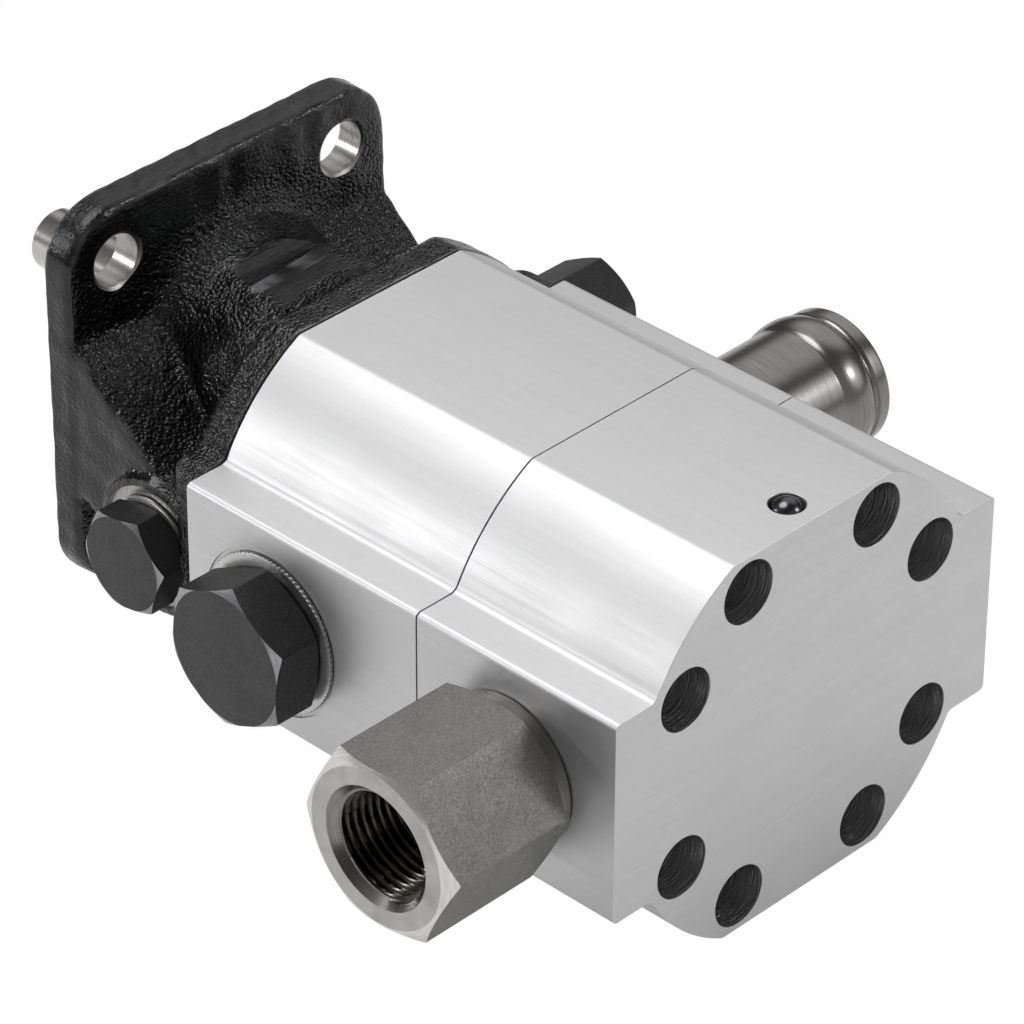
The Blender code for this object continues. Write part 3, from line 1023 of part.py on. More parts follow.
def build():
    clear_scene()
    parts = make_collection(COLLECTION_NAME)
    cutters = make_collection("cutters")
    finishes = finishes_of_pump()
    rear_body(parts, cutters, finishes["aluminium"])
    front_body(parts, cutters, finishes["aluminium"])
    front_cover(parts, cutters, finishes["iron"])
    drive_shaft(parts, cutters, finishes["steel"])
    shaft_key(parts, finishes["steel"])
    stages = (("first", FIRST_GEAR_START, FIRST_GEAR_END, FRONT_START + 2 * SEAT_GAP, FRONT_END - SEAT_GAP),
              ("second", SECOND_GEAR_START, SECOND_GEAR_END, REAR_WALL + SEAT_GAP, SEAM - SEAT_GAP))
    half_pitch = math.pi / TOOTH_COUNT
    for stage, start, end, low, high in stages:
        gear(f"{stage}_drive_gear", start, end, SHAFT_HEIGHT, -math.pi / 2, parts, finishes["steel"])
        gear(f"{stage}_driven_gear", start, end, -SHAFT_HEIGHT, math.pi / 2 + half_pitch, parts,
             finishes["steel"])
        idler_shaft(f"{stage}_idler_shaft", low + IDLER_END_GAP, high - IDLER_END_GAP, parts,
                    finishes["steel"])
        bearing_block(f"{stage}_rear_block", low, start - SEAT_GAP, parts, finishes["alloy"])
        bearing_block(f"{stage}_front_block", end + SEAT_GAP, high, parts, finishes["alloy"])
    face_seal("body_seal", SEAM, parts, finishes["rubber"])
    face_seal("cover_seal", FRONT_END, parts, finishes["rubber"])
    transfer_seals(parts, finishes["rubber"])
    dowel_pins(parts, finishes["steel"])
    body_screws(parts, cutters, finishes["black_oxide"])
    outlet_fitting(parts, cutters, finishes["zinc"])
    inlet_tube(parts, finishes["plated"])
    check_valve(parts, cutters, finishes)
    unloading_valve(parts, cutters, finishes)
    shaft_support(parts, finishes)
    ball_plug(parts, finishes["steel"])
    for item in parts.objects:
        smooth(item)


build()
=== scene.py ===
import json
import math

import bmesh
import bpy
import numpy as np
from mathutils import Matrix, Vector


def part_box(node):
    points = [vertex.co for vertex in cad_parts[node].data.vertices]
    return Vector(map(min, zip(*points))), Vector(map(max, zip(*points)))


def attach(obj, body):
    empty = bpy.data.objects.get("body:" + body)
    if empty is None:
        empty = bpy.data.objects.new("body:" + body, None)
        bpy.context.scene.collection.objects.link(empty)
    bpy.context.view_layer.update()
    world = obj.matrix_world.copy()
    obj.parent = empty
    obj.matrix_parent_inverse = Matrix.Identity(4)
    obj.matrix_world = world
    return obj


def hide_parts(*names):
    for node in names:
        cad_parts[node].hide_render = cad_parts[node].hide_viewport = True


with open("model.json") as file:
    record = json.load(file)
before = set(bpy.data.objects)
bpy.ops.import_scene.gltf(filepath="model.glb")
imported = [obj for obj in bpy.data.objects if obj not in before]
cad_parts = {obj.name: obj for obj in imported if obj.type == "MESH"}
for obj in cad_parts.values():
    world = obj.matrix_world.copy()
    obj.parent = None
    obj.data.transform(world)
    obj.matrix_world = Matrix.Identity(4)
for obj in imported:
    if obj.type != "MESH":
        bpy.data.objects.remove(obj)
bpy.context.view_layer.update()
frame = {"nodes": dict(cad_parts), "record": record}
mm = 0.001
nodes = frame["nodes"]

# Every size below is in millimetres from the pump's datum: the barrel axis on the rear face
rearLow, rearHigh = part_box("rear_body")
datum = np.array([(rearLow.x + rearHigh.x) / 2, rearLow.y, (rearLow.z + rearHigh.z) / 2])
print("frame loaded:", len(nodes), "nodes")


def nodeBox(name):
    # a node's box in the pump's own millimetres
    low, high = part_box(name)
    return (np.array(low) - datum) / mm, (np.array(high) - datum) / mm


def toLinear(hexColour):
    # sRGB to linear light: a straight toe below 0.04045 and a power of 2.4 above it
    parts = np.array([int(hexColour[at:at + 2], 16) for at in (1, 3, 5)]) / 255
    linear = np.where(parts <= 0.04045, parts / 12.92, ((parts + 0.055) / 1.055) ** 2.4)
    return (*linear.tolist(), 1.0)


def addNode(tree, kind, settings, links=None):
    # one node, its socket values or properties, and what is plugged in: a socket, or a node's first output
    node = tree.nodes.new("ShaderNode" + kind)
    for key, value in settings.items():
        if isinstance(key, int) or key in node.inputs:
            node.inputs[key].default_value = value
        else:
            setattr(node, key, value)
    for key, source in (links or {}).items():
        tree.links.new(source.outputs[0] if hasattr(source, "outputs") else source, node.inputs[key])
    return node


def linked(name, data):
    made = bpy.data.objects.new(name, data)
    bpy.context.scene.collection.objects.link(made)
    return made


def startMaterial(name, shown, metallic, roughness):
    made = bpy.data.materials.new(name)
    made.use_nodes = True
    made.diffuse_color = toLinear(shown)
    shader = made.node_tree.nodes["Principled BSDF"]
    shader.inputs["Metallic"].default_value = metallic
    shader.inputs["Roughness"].default_value = roughness
    coords = addNode(made.node_tree, "TexCoord", {})
    return made, made.node_tree, shader, coords.outputs["Object"]


def plugIn(tree, shader, colour, rough, bump):
    tree.links.new(colour.outputs[2], shader.inputs["Base Color"])
    tree.links.new(rough.outputs[0], shader.inputs["Roughness"])
    tree.links.new(bump.outputs[0], shader.inputs["Normal"])


def satin(tree, shader, look, marks, drift):
    # metal whose colour, roughness and bump follow the tool's marks, the first two with a wider drift added
    both = addNode(tree, "Math", {"operation": "MULTIPLY_ADD", 1: look["driftShare"]}, {0: drift, 2: marks})
    (low, high), (smooth, coarse) = look["level"], look["roughness"]
    level = addNode(tree, "MapRange", {"From Min": low, "From Max": high}, {"Value": both})
    colour = addNode(tree, "Mix", {"data_type": "RGBA", 6: toLinear(look["deep"]), 7: toLinear(look["pale"])},
                     {0: level})
    rough = addNode(tree, "MapRange", {"To Min": coarse, "To Max": smooth}, {"Value": level})
    bump = addNode(tree, "Bump", {"Strength": look["bump"], "Distance": look["depth"] * mm},
                   {"Height": marks})
    plugIn(tree, shader, colour, rough, bump)


# Milled aluminium: extruded bar, milled all round with a fine cutter. It gives a pale satin grey with faint
# cutter streaks about 0.4 mm apart, along the bar on its sides and across it on the end faces.
aluminiumLook = {"pale": "#D2D2D3", "deep": "#CACACB", "roughness": (0.46, 0.53), "streak": 0.40,
                 "streakRun": 26.0, "streakTurn": 0.06, "endFacing": 0.7, "cloud": 14.0, "driftShare": 0.45,
                 "level": (0.45, 1.0), "bump": 0.03, "depth": 0.04}


def milledAluminium(look):
    made, tree, shader, place = startMaterial("milledAluminium", look["pale"], 1.0, 0.36)
    fine, run = 1 / (look["streak"] * mm), 1 / (look["streakRun"] * mm)
    along = addNode(tree, "Mapping", {"Scale": (fine, run, fine)}, {"Vector": place})
    across = addNode(tree, "Mapping", {"Scale": (run, fine, fine), "Rotation": (0, look["streakTurn"], 0)},
                     {"Vector": place})
    sides, ends = [addNode(tree, "TexNoise", {"Scale": 1.0, "Detail": 3.0, "Roughness": 0.6}, {"Vector": way})
                   for way in (along, across)]
    normal = addNode(tree, "NewGeometry", {})
    parts = addNode(tree, "SeparateXYZ", {}, {0: normal.outputs["Normal"]})
    facing = addNode(tree, "Math", {"operation": "ABSOLUTE"}, {0: parts.outputs["Y"]})
    onEnd = addNode(tree, "Math", {"operation": "GREATER_THAN", 1: look["endFacing"]}, {0: facing})
    streak = addNode(tree, "Mix", {"data_type": "FLOAT"}, {0: onEnd, 2: sides, 3: ends})
    cloud = addNode(tree, "TexNoise", {"Scale": 1 / (look["cloud"] * mm), "Detail": 4.0}, {"Vector": place})
    satin(tree, shader, look, streak, cloud)
    return made


# Painted cast iron: sand-cast, then sprayed gloss black. It gives a deep black whose 0.7 to 0.9 mm sand grain
# breaks every highlight into sharp specks. The sides that were dressed on a belt have a lower grain, the
# convex edges are painted a little lighter, partly as rubbed paint and partly as a painted highlight, and
# where a milling cutter skimmed the neck's flat and the flange above it fine lines 0.3 mm apart run along X.
ironLook = {"paint": "#040405", "wornAndHighlight": "#5A5A5C", "grain": 0.9, "grit": 0.7, "gritDepth": -0.45,
            "swell": 7.0, "swellRise": 1.2, "bump": 1.0, "bumpDepth": 0.45, "dressedBump": 0.35,
            "gloss": (0.14, 0.24), "glossRange": (0.3, 0.7), "shine": 0.45, "line": 0.32, "lineRun": 10.0,
            "lineDepth": 0.30, "lineRise": 0.73, "edgeWearAndHighlight": (0.515, 0.56), "wearAndHighlightBreak": (0.4, 0.6)}
# Ramps along an axis (X counts from the middle plane): name, axis, middle, half blend and share. A negative
# blend falls instead of rising.
ironRamps = (("past", 1, 122.0, 0.5, 1.0), ("before", 1, 140.0, -1.5, 1.0), ("within", 0, 9.2, -0.5, 1.0),
             ("above", 2, 33.8, 0.8, 0.9), ("onFlange", 2, 44.5, 3.0, 0.8), ("outside", 0, 40.3, 0.3, 1.0))
# What they make: the neck's skimmed flat, the lines there and on the flange, and the dressed sides
ironMasks = (("onNeck", "MULTIPLY", "within", "above"), ("neckFlat", "MULTIPLY", "onNeck", "before"),
             ("lined", "MAXIMUM", "neckFlat", "onFlange"), ("skimmed", "MULTIPLY", "past", "lined"),
             ("dressed", "MULTIPLY", "past", "outside"))


def paintedCastIron(look):
    made, tree, shader, place = startMaterial("paintedCastIron", look["paint"], 0.0, 0.2)
    shader.inputs["Specular IOR Level"].default_value = look["shine"]
    grain = addNode(tree, "TexNoise", {"Scale": 1 / (look["grain"] * mm), "Detail": 2.0, "Roughness": 0.5},
                    {"Vector": place})
    grit = addNode(tree, "TexVoronoi", {"Scale": 1 / (look["grit"] * mm), "feature": "F1"}, {"Vector": place})
    swell = addNode(tree, "TexNoise", {"Scale": 1 / (look["swell"] * mm), "Detail": 2.0}, {"Vector": place})
    rise = addNode(tree, "Math", {"operation": "MULTIPLY_ADD", 1: look["gritDepth"]}, {0: grit, 2: grain})
    rough = addNode(tree, "Math", {"operation": "MULTIPLY_ADD", 1: look["swellRise"]}, {0: swell, 2: rise})
    fine, run = 1 / (look["line"] * mm), 1 / (look["lineRun"] * mm)
    stretched = addNode(tree, "Mapping", {"Scale": (run, fine, fine)}, {"Vector": place})
    lines = addNode(tree, "TexNoise", {"Scale": 1.0, "Detail": 2.0, "Roughness": 0.6}, {"Vector": stretched})
    shallow = addNode(tree, "Math", {"operation": "MULTIPLY_ADD", 1: look["lineDepth"], 2: look["lineRise"]},
                      {0: lines})
    parts = addNode(tree, "SeparateXYZ", {}, {0: place})
    fromAxis = addNode(tree, "Math", {"operation": "SUBTRACT", 1: float(datum[0])}, {0: parts.outputs["X"]})
    aside = addNode(tree, "Math", {"operation": "ABSOLUTE"}, {0: fromAxis})
    sources, bases = (aside, parts.outputs["Y"], parts.outputs["Z"]), (0.0, float(datum[1]), float(datum[2]))
    masks = {}
    for name, axis, middle, blend, share in ironRamps:
        low, high = (middle - blend) * mm + bases[axis], (middle + blend) * mm + bases[axis]
        masks[name] = addNode(tree, "MapRange", {"From Min": low, "From Max": high, "To Max": share},
                              {"Value": sources[axis]})
    for name, operation, first, second in ironMasks:
        masks[name] = addNode(tree, "Math", {"operation": operation}, {0: masks[first], 1: masks[second]})
    height = addNode(tree, "Mix", {"data_type": "FLOAT"}, {0: masks["skimmed"], 2: rough, 3: shallow})
    strength = addNode(tree, "MapRange", {"To Min": look["bump"], "To Max": look["dressedBump"]},
                       {"Value": masks["dressed"]})
    bump = addNode(tree, "Bump", {"Distance": look["bumpDepth"] * mm},
                   {"Strength": strength, "Height": height})
    # rubbed paint and painted highlight: a lighter colour on convex edges only, broken up by the swell
    shape = addNode(tree, "NewGeometry", {})
    edges, broken = [addNode(tree, "MapRange", {"From Min": low, "From Max": high}, {"Value": source})
                     for source, (low, high) in ((shape.outputs["Pointiness"], look["edgeWearAndHighlight"]),
                                                 (swell, look["wearAndHighlightBreak"]))]
    wearAndHighlight = addNode(tree, "Math", {"operation": "MULTIPLY"}, {0: edges, 1: broken})
    colour = addNode(tree, "Mix", {"data_type": "RGBA", 6: toLinear(look["paint"]),
                                   7: toLinear(look["wornAndHighlight"])}, {0: wearAndHighlight})
    low, high = look["glossRange"]
    gloss = addNode(tree, "MapRange", {"From Min": low, "From Max": high, "To Min": look["gloss"][0],
                                       "To Max": look["gloss"][1]}, {"Value": grain})
    plugIn(tree, shader, colour, gloss, bump)
    return made


# Steels and the other plain finishes: one base colour that drifts a little, and a roughness and a bump that
# follow a noise stretched along the mark that the tool left. A lay of (x, y, z) is the mark's length each way
# in millimetres: a turned bar along Y has long marks in X and Z and short ones in Y.
finishColumns = ("pale", "deep", "roughness", "lay", "bump", "metallic", "depth")
finishBase = {"metallic": 1.0, "depth": 0.1, "drift": 5.0, "driftShare": 0.25, "level": (0.38, 0.87)}
finishLooks = {
    # centreless-ground bar: soft bands round the shaft
    "groundSteel": ("#C9C7C4", "#A8A6A3", (0.16, 0.26), (8.0, 0.30, 8.0), 0.05),
    # drawn and polished tube, faint rings round it
    "polishedSteel": ("#918F8D", "#737170", (0.20, 0.30), (0.35, 9.0, 9.0), 0.06),
    # drilled deep: bright, with rings round the wall
    "boredAluminium": ("#D0D0D1", "#8C8C8D", (0.30, 0.42), (5.0, 0.30, 5.0), 1.0, 1.0, 0.26),
    # hardened ball, glossy, its colour darkened as painted shade in its hole
    "ballSteel": ("#606063", "#4A4A4D", (0.18, 0.24), (2.0, 2.0, 2.0), 0.01),
    # cold-drawn hexagon bar: satin grey with a fine grain
    "grainySteel": ("#8B8A88", "#686765", (0.40, 0.55), (0.45, 0.45, 0.45), 0.25),
    # lathe-cut faces, bare and lighter
    "turnedSteel": ("#BBBAB8", "#9B9A98", (0.24, 0.36), (0.30, 6.0, 6.0), 0.08),
    # corners taken off on the lathe, bare, and paler than the turned faces as a painted highlight
    "chamferSteel": ("#E0DEDB", "#C2C0BD", (0.20, 0.30), (0.30, 6.0, 6.0), 0.06),
    # tapped thread, shiny, tinted brown by oil and darkened to near black as painted shade deep in the bore
    "threadSteel": ("#54514C", "#24221F", (0.16, 0.30), (2.5, 2.5, 2.5), 0.05),
    # blackened forging: soft dark sheen
    "blackOxide": ("#424243", "#2B2B2C", (0.46, 0.56), (0.5, 0.5, 0.5), 0.20, 0.75),
    # the faced end of a blackened plug: flat dark grey
    "blackOxideFace": ("#4C4C4D", "#3C3C3D", (0.44, 0.54), (0.5, 0.5, 0.5), 0.10, 0.7),
    # blackened but turned, then rubbed bright; on the plugs' chamfers this paler colour is also a painted
    # highlight
    "wornOxideAndHighlight": ("#A4A3A6", "#78777A", (0.24, 0.34), (0.4, 5.0, 5.0), 0.08),
    # faced casting, bare, with the cutter's marks standing upright
    "machinedIron": ("#B6B4B1", "#8B8986", (0.24, 0.38), (0.45, 0.35, 9.0), 0.10),
    # zinc washer, bright on its serrated rim
    "knurledSteel": ("#D2D2D1", "#AEAEAD", (0.26, 0.38), (0.5, 0.5, 0.5), 0.15),
    # bored bush
    "bronze": ("#B48A4E", "#8C6936", (0.32, 0.44), (5.0, 0.4, 5.0), 0.06),
    # die-cast block, machined on its faces
    "bearingAlloy": ("#B9B9BC", "#9C9CA0", (0.32, 0.44), (5.0, 0.4, 5.0), 0.06),
    # moulded ring, dull black
    "nitrileRubber": ("#1D1D1E", "#121213", (0.52, 0.66), (0.8, 0.8, 0.8), 0.08, 0.0),
    # drawn wire, dark from its heat treatment
    "springSteel": ("#6E6D6C", "#4C4B4A", (0.28, 0.40), (1.5, 1.5, 1.5), 0.05),
}


def plainFinish(name, row):
    look = {**finishBase, **dict(zip(finishColumns, row))}
    made, tree, shader, place = startMaterial(name, look["pale"], look["metallic"], look["roughness"][0])
    scale = tuple(1 / (length * mm) for length in look["lay"])
    mapping = addNode(tree, "Mapping", {"Scale": scale}, {"Vector": place})
    marks = addNode(tree, "TexNoise", {"Scale": 1.0, "Detail": 4.0, "Roughness": 0.6}, {"Vector": mapping})
    drift = addNode(tree, "TexNoise", {"Scale": 1 / (look["drift"] * mm), "Detail": 3.0}, {"Vector": place})
    satin(tree, shader, look, marks, drift)
    return made


finishes = {name: plainFinish(name, row) for name, row in finishLooks.items()}
finishes["milledAluminium"] = milledAluminium(aluminiumLook)
finishes["paintedCastIron"] = paintedCastIron(ironLook)
print("materials made:", len(finishes))


def toMesh(name, points, faces, materials):
    # points in the pump's millimetres become one closed mesh in metres at the origin, with outward faces
    mesh = bpy.data.meshes.new(name)
    mesh.from_pydata((np.asarray(points) * mm + datum).tolist(), [], faces)
    shape = bmesh.new()
    shape.from_mesh(mesh)
    bmesh.ops.remove_doubles(shape, verts=shape.verts, dist=0.002 * mm)
    bmesh.ops.dissolve_degenerate(shape, edges=shape.edges, dist=0.001 * mm)
    bmesh.ops.recalc_face_normals(shape, faces=shape.faces)
    shape.to_mesh(mesh)
    shape.free()
    piece = linked(name, mesh)
    for material in materials:
        mesh.materials.append(finishes[material])
    return piece


def gridFaces(rows, columns, wrapRows):
    # quads of a grid whose columns close round, and whose rows close too for a ring
    row = np.arange(rows if wrapRows else rows - 1)
    a, b = np.meshgrid(row, np.arange(columns), indexing="ij")
    a2, b2 = (a + 1) % rows, (b + 1) % columns
    corners = [a * columns + b, a * columns + b2, a2 * columns + b2, a2 * columns + b]
    return np.stack(corners, -1).reshape(-1, 4).tolist()


# Unit vectors for each axis: along it, then the two across it
axisFrames = {axis: np.roll(np.eye(3), -at, 0) for at, axis in enumerate("XYZ")}


def rectangle(low, start, high, end):
    return [(low, start), (high, start), (high, end), (low, end)]


def rounded(profile, radius, steps=4):
    # each corner of a closed outline becomes a small arc of the radius, given for all corners or one by one
    points = np.asarray(profile, float)
    radii = np.broadcast_to(np.asarray(radius, float), len(points))
    share = np.linspace(0, 1, steps + 1)[:, None]
    most, straight, least = 0.45, 1.54, 0.01
    out = []
    for point, before, after, size in zip(points, np.roll(points, 1, 0), np.roll(points, -1, 0), radii):
        toBefore, toAfter = before - point, after - point
        lengthBefore, lengthAfter = np.linalg.norm(toBefore), np.linalg.norm(toAfter)
        u, v = toBefore / lengthBefore, toAfter / lengthAfter
        half = math.acos(float(np.clip(u @ v, -1, 1))) / 2
        reach = min(size / math.tan(half), most * lengthBefore, most * lengthAfter) if half < straight else 0
        if size <= 0 or reach < least:
            out.append(point)
            continue
        start, end = point + u * reach, point + v * reach
        out.extend((1 - share) ** 2 * start + 2 * share * (1 - share) * point + share ** 2 * end)
    return np.array(out)


def turned(name, profile, axis, centre, steps, materials, ring=False, ripple=None):
    # a profile of (radius, station) carried round an axis: centre + axis * station + radius * (cos, sin)
    outline = np.asarray(profile, float)
    angle = np.linspace(0, 2 * math.pi, steps, endpoint=False)
    radius = outline[:, :1] * np.ones(steps)
    if ripple is not None:
        radius = ripple(radius, outline[:, 1:], angle)
    ahead, one, two = axisFrames[axis]
    points = (outline[:, 1, None, None] * ahead + radius[..., None] * np.cos(angle)[None, :, None] * one
              + radius[..., None] * np.sin(angle)[None, :, None] * two) + np.asarray(centre, float)
    return toMesh(name, points.reshape(-1, 3), gridFaces(len(outline), steps, ring), materials)


def extruded(name, outline, axis, stations, materials, insets=(0, 0)):
    # an outline carried along an axis, drawn in by an inset at each station along its own inward normals
    flat = np.asarray(outline, float)
    tangent = np.roll(flat, -1, 0) - np.roll(flat, 1, 0)
    area = float(np.sum(flat[:, 0] * np.roll(flat[:, 1], -1) - np.roll(flat[:, 0], -1) * flat[:, 1]))
    inward = np.stack([-tangent[:, 1], tangent[:, 0]], -1) * np.sign(area)
    inward /= np.linalg.norm(inward, axis=1, keepdims=True)
    drawn = flat[None] + inward[None] * np.asarray(insets, float)[:, None, None]
    count = len(flat)
    points = np.zeros((len(stations), count, 3))
    first, second, third = {"Y": (0, 2, 1), "X": (1, 2, 0)}[axis]
    points[..., first] = drawn[..., 0]
    points[..., second] = drawn[..., 1]
    points[..., third] = np.asarray(stations, float)[:, None]
    faces = gridFaces(len(stations), count, False)
    faces.append(list(range(count)))
    faces.append([count * (len(stations) - 1) + at for at in range(count)])
    return toMesh(name, points.reshape(-1, 3), faces, materials)


def baked(piece):
    # the piece with its modifiers applied
    bpy.context.view_layer.update()
    graph = bpy.context.evaluated_depsgraph_get()
    mesh = bpy.data.meshes.new_from_object(piece.evaluated_get(graph))
    old = piece.data
    piece.modifiers.clear()
    piece.data = mesh
    bpy.data.meshes.remove(old)
    return piece


def combined(piece, operation, tools):
    # Booleans in turn; a cut face takes the finish of the tool that cut it
    for tool in tools:
        step = piece.modifiers.new(tool.name, "BOOLEAN")
        step.operation = operation
        step.solver = "EXACT"
        step.object = tool
        step.material_mode = "TRANSFER"
    baked(piece)
    for tool in tools:
        bpy.data.objects.remove(tool, do_unlink=True)
    return piece


def shaded(piece, degrees=30):
    piece.data.shade_smooth()
    piece.data.set_sharp_from_angle(angle=math.radians(degrees))
    return piece


def placed(piece, body, slot, *stoodFor):
    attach(piece, body)
    if stoodFor:
        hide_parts(*stoodFor)
    return piece


def arc(centre, radius, first, last, count):
    angle = np.linspace(first, last, count)
    return np.stack([centre[0] + radius * np.cos(angle), centre[1] + radius * np.sin(angle)], -1)


def mirroredOutline(quarter):
    # a quarter outline reflected in both axes, in order round the shape
    upper = np.concatenate([quarter, quarter[::-1] * (-1, 1)])
    return np.concatenate([upper, -upper])


def housingOutline(halfWidth, halfHeight, lugHalf, barrel, corner, root, edge):
    # lug corner arc, root arc tangent to lug and barrel, barrel arc, and a small arc where the flat begins
    lugCorner = arc((halfWidth - corner, lugHalf - corner), corner, 0, math.pi / 2, 7)
    rootHeight = lugHalf + root
    rootAcross = math.sqrt((barrel + root) ** 2 - rootHeight ** 2)
    rootAngle = math.atan2(rootHeight, rootAcross)
    rootArc = arc((rootAcross, rootHeight), root, 1.5 * math.pi, math.pi + rootAngle, 8)
    flatAngle = math.asin(halfHeight / barrel)
    barrelArc = arc((0, 0), barrel, rootAngle, flatAngle, 40)[1:-1]
    crest = np.array([barrel * math.cos(flatAngle), halfHeight])
    edgeArc = rounded([barrelArc[-3], crest, (0, halfHeight)], (0, edge, 0), 3)[1:-1]
    return mirroredOutline(np.concatenate([lugCorner, rootArc, barrelArc[:-3], edgeArc]))


def figureEight(radius, height):
    # two equal circles about the two gear axes, joined where they cross
    waist = math.acos(height / radius) - math.pi / 2
    upper = arc((0, height), radius, waist, math.pi - waist, 60)
    return np.concatenate([upper, -upper[1:-1]])


# Axes that several pieces share, and places that come from the CAD boxes
outletCentre, inletCentre = (0, 25.2, 0), (0, 69.6, 0)
checkCentre, valveCentre = (0, 85.9, -1.0), (0, 125.3, -4.5)
axisHeight, ballAt = 13.5, 6.5
shaftCentre = (0, 0, axisHeight)
bodyHalfWidth = (rearHigh.x - rearLow.x) / 2 / mm
bodyHalfHeight = (rearHigh.z - rearLow.z) / 2 / mm
seam = float(nodeBox("rear_body")[1][1])
coverStart = float(nodeBox("front_cover")[0][1])
capEnd = float(nodeBox("valve_cap_washer")[0][0]) - 0.3

# The two aluminium bodies, one section cut in two. A bore is its radius, mouth, depth, way, axis, centre, rim
# and steps.
bodyLook = {"lugHalf": 21.5, "barrel": 45.6, "corner": 1.2, "root": 2.0, "flatEdge": 2.5, "edge": 0.05,
            "pocket": 16.0, "rearWall": 11.0, "screwCircle": 37.15, "screwAngles": (29.3, 63.05),
            "counterbore": 6.25, "counterboreDepth": 28.0, "hole": 4.25, "rim": 0.06,
            "rearBores": ((3.45, bodyHalfHeight, 7.0, -1, "Z", (0, ballAt, 0), 0.12, 48),
                          (10.7, -bodyHalfWidth, 12.0, 1, "X", outletCentre, 0.3)),
            "frontBores": ((17.05, -bodyHalfWidth, 0.35, 1, "X", checkCentre, 0, 128),
                           (10.3, -bodyHalfWidth, 32.0, 1, "X", checkCentre),
                           (14.45, bodyHalfWidth, 12.0, -1, "X", inletCentre, 0.3, 96))}


def screwPlaces(look):
    # two screws in each quarter, on one circle
    angle = np.radians(look["screwAngles"])
    quarter = look["screwCircle"] * np.stack([np.cos(angle), np.sin(angle)], -1)
    return np.concatenate([quarter * (sx, sz) for sx in (-1, 1) for sz in (-1, 1)])


def bodyShell(name, look, start, end):
    outline = housingOutline(bodyHalfWidth, bodyHalfHeight, look["lugHalf"], look["barrel"], look["corner"],
                             look["root"], look["flatEdge"])
    edge = look["edge"]
    return extruded(name, outline, "Y", [start, start + edge, end - edge, end], ["milledAluminium"],
                    [edge, 0, 0, edge])


def boreTool(radius, mouth, depth, way, axis, centre, rim=0, steps=64, finish="milledAluminium"):
    # a cylinder from outside the mouth to its depth, with a small chamfer at the mouth
    out, into = mouth - 4 * way, mouth + depth * way
    profile = [(0, out), (radius + rim, out), (radius + rim, mouth), (radius, mouth + rim * way),
               (radius, into), (0, into)]
    return turned("boreTool", profile, axis, centre, steps, [finish])


def rearBody(look):
    piece = bodyShell("rearBody", look, 0.0, seam)
    tools = [extruded("gearPocket", figureEight(look["pocket"], axisHeight), "Y",
                      [look["rearWall"], seam + 2], ["milledAluminium"])]
    depth = look["counterboreDepth"]
    for x, z in screwPlaces(look):
        tools.append(boreTool(look["counterbore"], 0.0, depth, 1, "Y", (x, 0, z), look["rim"],
                              finish="boredAluminium"))
        tools.append(boreTool(look["hole"], depth, seam, 1, "Y", (x, 0, z), 0, 40))
    tools += [boreTool(*row) for row in look["rearBores"]]
    combined(piece, "DIFFERENCE", tools)
    return placed(shaded(piece), "housing", "milled_aluminium", "rear_body")


def frontBody(look):
    low, high = nodeBox("front_body")
    start, end = float(low[1]), float(high[1])
    piece = bodyShell("frontBody", look, start, end)
    tools = [extruded("gearPocket", figureEight(look["pocket"], axisHeight), "Y", [start - 2, end + 2],
                      ["milledAluminium"])]
    for x, z in screwPlaces(look):
        tools.append(boreTool(look["hole"], start, end - start + 4, 1, "Y", (x, 0, z), 0, 40))
    tools += [boreTool(*row) for row in look["frontBores"]]
    combined(piece, "DIFFERENCE", tools)
    return placed(shaded(piece), "housing", "milled_aluminium", "front_body")


rearBody(bodyLook)
frontBody(bodyLook)
print("bodies made")


# The cast cover: shells melted together on a fine voxel grid, smoothed as a sand mould leaves them, then
# machined
coverLook = {"baseEnd": coverStart + 8.0, "earHalf": 46.5, "proud": 0.4, "earCorner": 3.0, "baseEdge": 2.2,
             "flangeStart": 147.4, "flangeThickness": 6.5, "flangeHalf": 41.25, "flangeCorner": 12.0,
             "flangeEdge": 1.4, "neck": 23.5, "neckRoot": 25.5, "neckFlange": 31.0, "neckFlare": 9.0,
             "flareWidth": 3.4, "neckStart": 112, "neckEnd": 151, "pilot": 25.4, "pilotHeight": 5.2,
             "pilotStart": 150, "pilotChamfer": 0.6, "holeHalf": 29.2, "hole": 5.4, "holeRim": 0.4,
             "gusset": ((147.4, 28.4), (127.0, 11.5), (115.6, 3.0), (112.0, 3.0), (112.0, -18.0),
                        (115.6, -18.0), (137.0, -17.0), (141.0, -8.0), (147.4, -4.5), (151.0, -4.5),
                        (151.0, 28.4)),
             "gussetHalf": 41.0, "barrel": 14.2, "barrelLow": -43.0, "barrelHigh": capEnd + 2,
             "valveBores": ((12.6, -42.4, 0.0, 1, "X", valveCentre, 0, 128),
                            (7.3, -42.4, 9.3, 1, "X", valveCentre),
                            (18.6, capEnd, 0.0, -1, "X", valveCentre, 0, 128),
                            (8.9, capEnd, 33.0, -1, "X", valveCentre)),
             "skimHalf": 36.0, "skimStart": 121.4, "skimEnd": 141.0, "skimHeight": 35.2, "skimTop": 70,
             "skimBlend": 7.0, "shaftBore": 14.3, "shaftBoreDepth": 11.5, "boreChamfer": 0.5,
             "shaftHole": 7.35, "voxel": 0.75, "smooth": 5, "grainDepth": 0.10,
             "grainLengths": (9.0, 6.0, 4.2, 3.0), "grainSeed": 4}


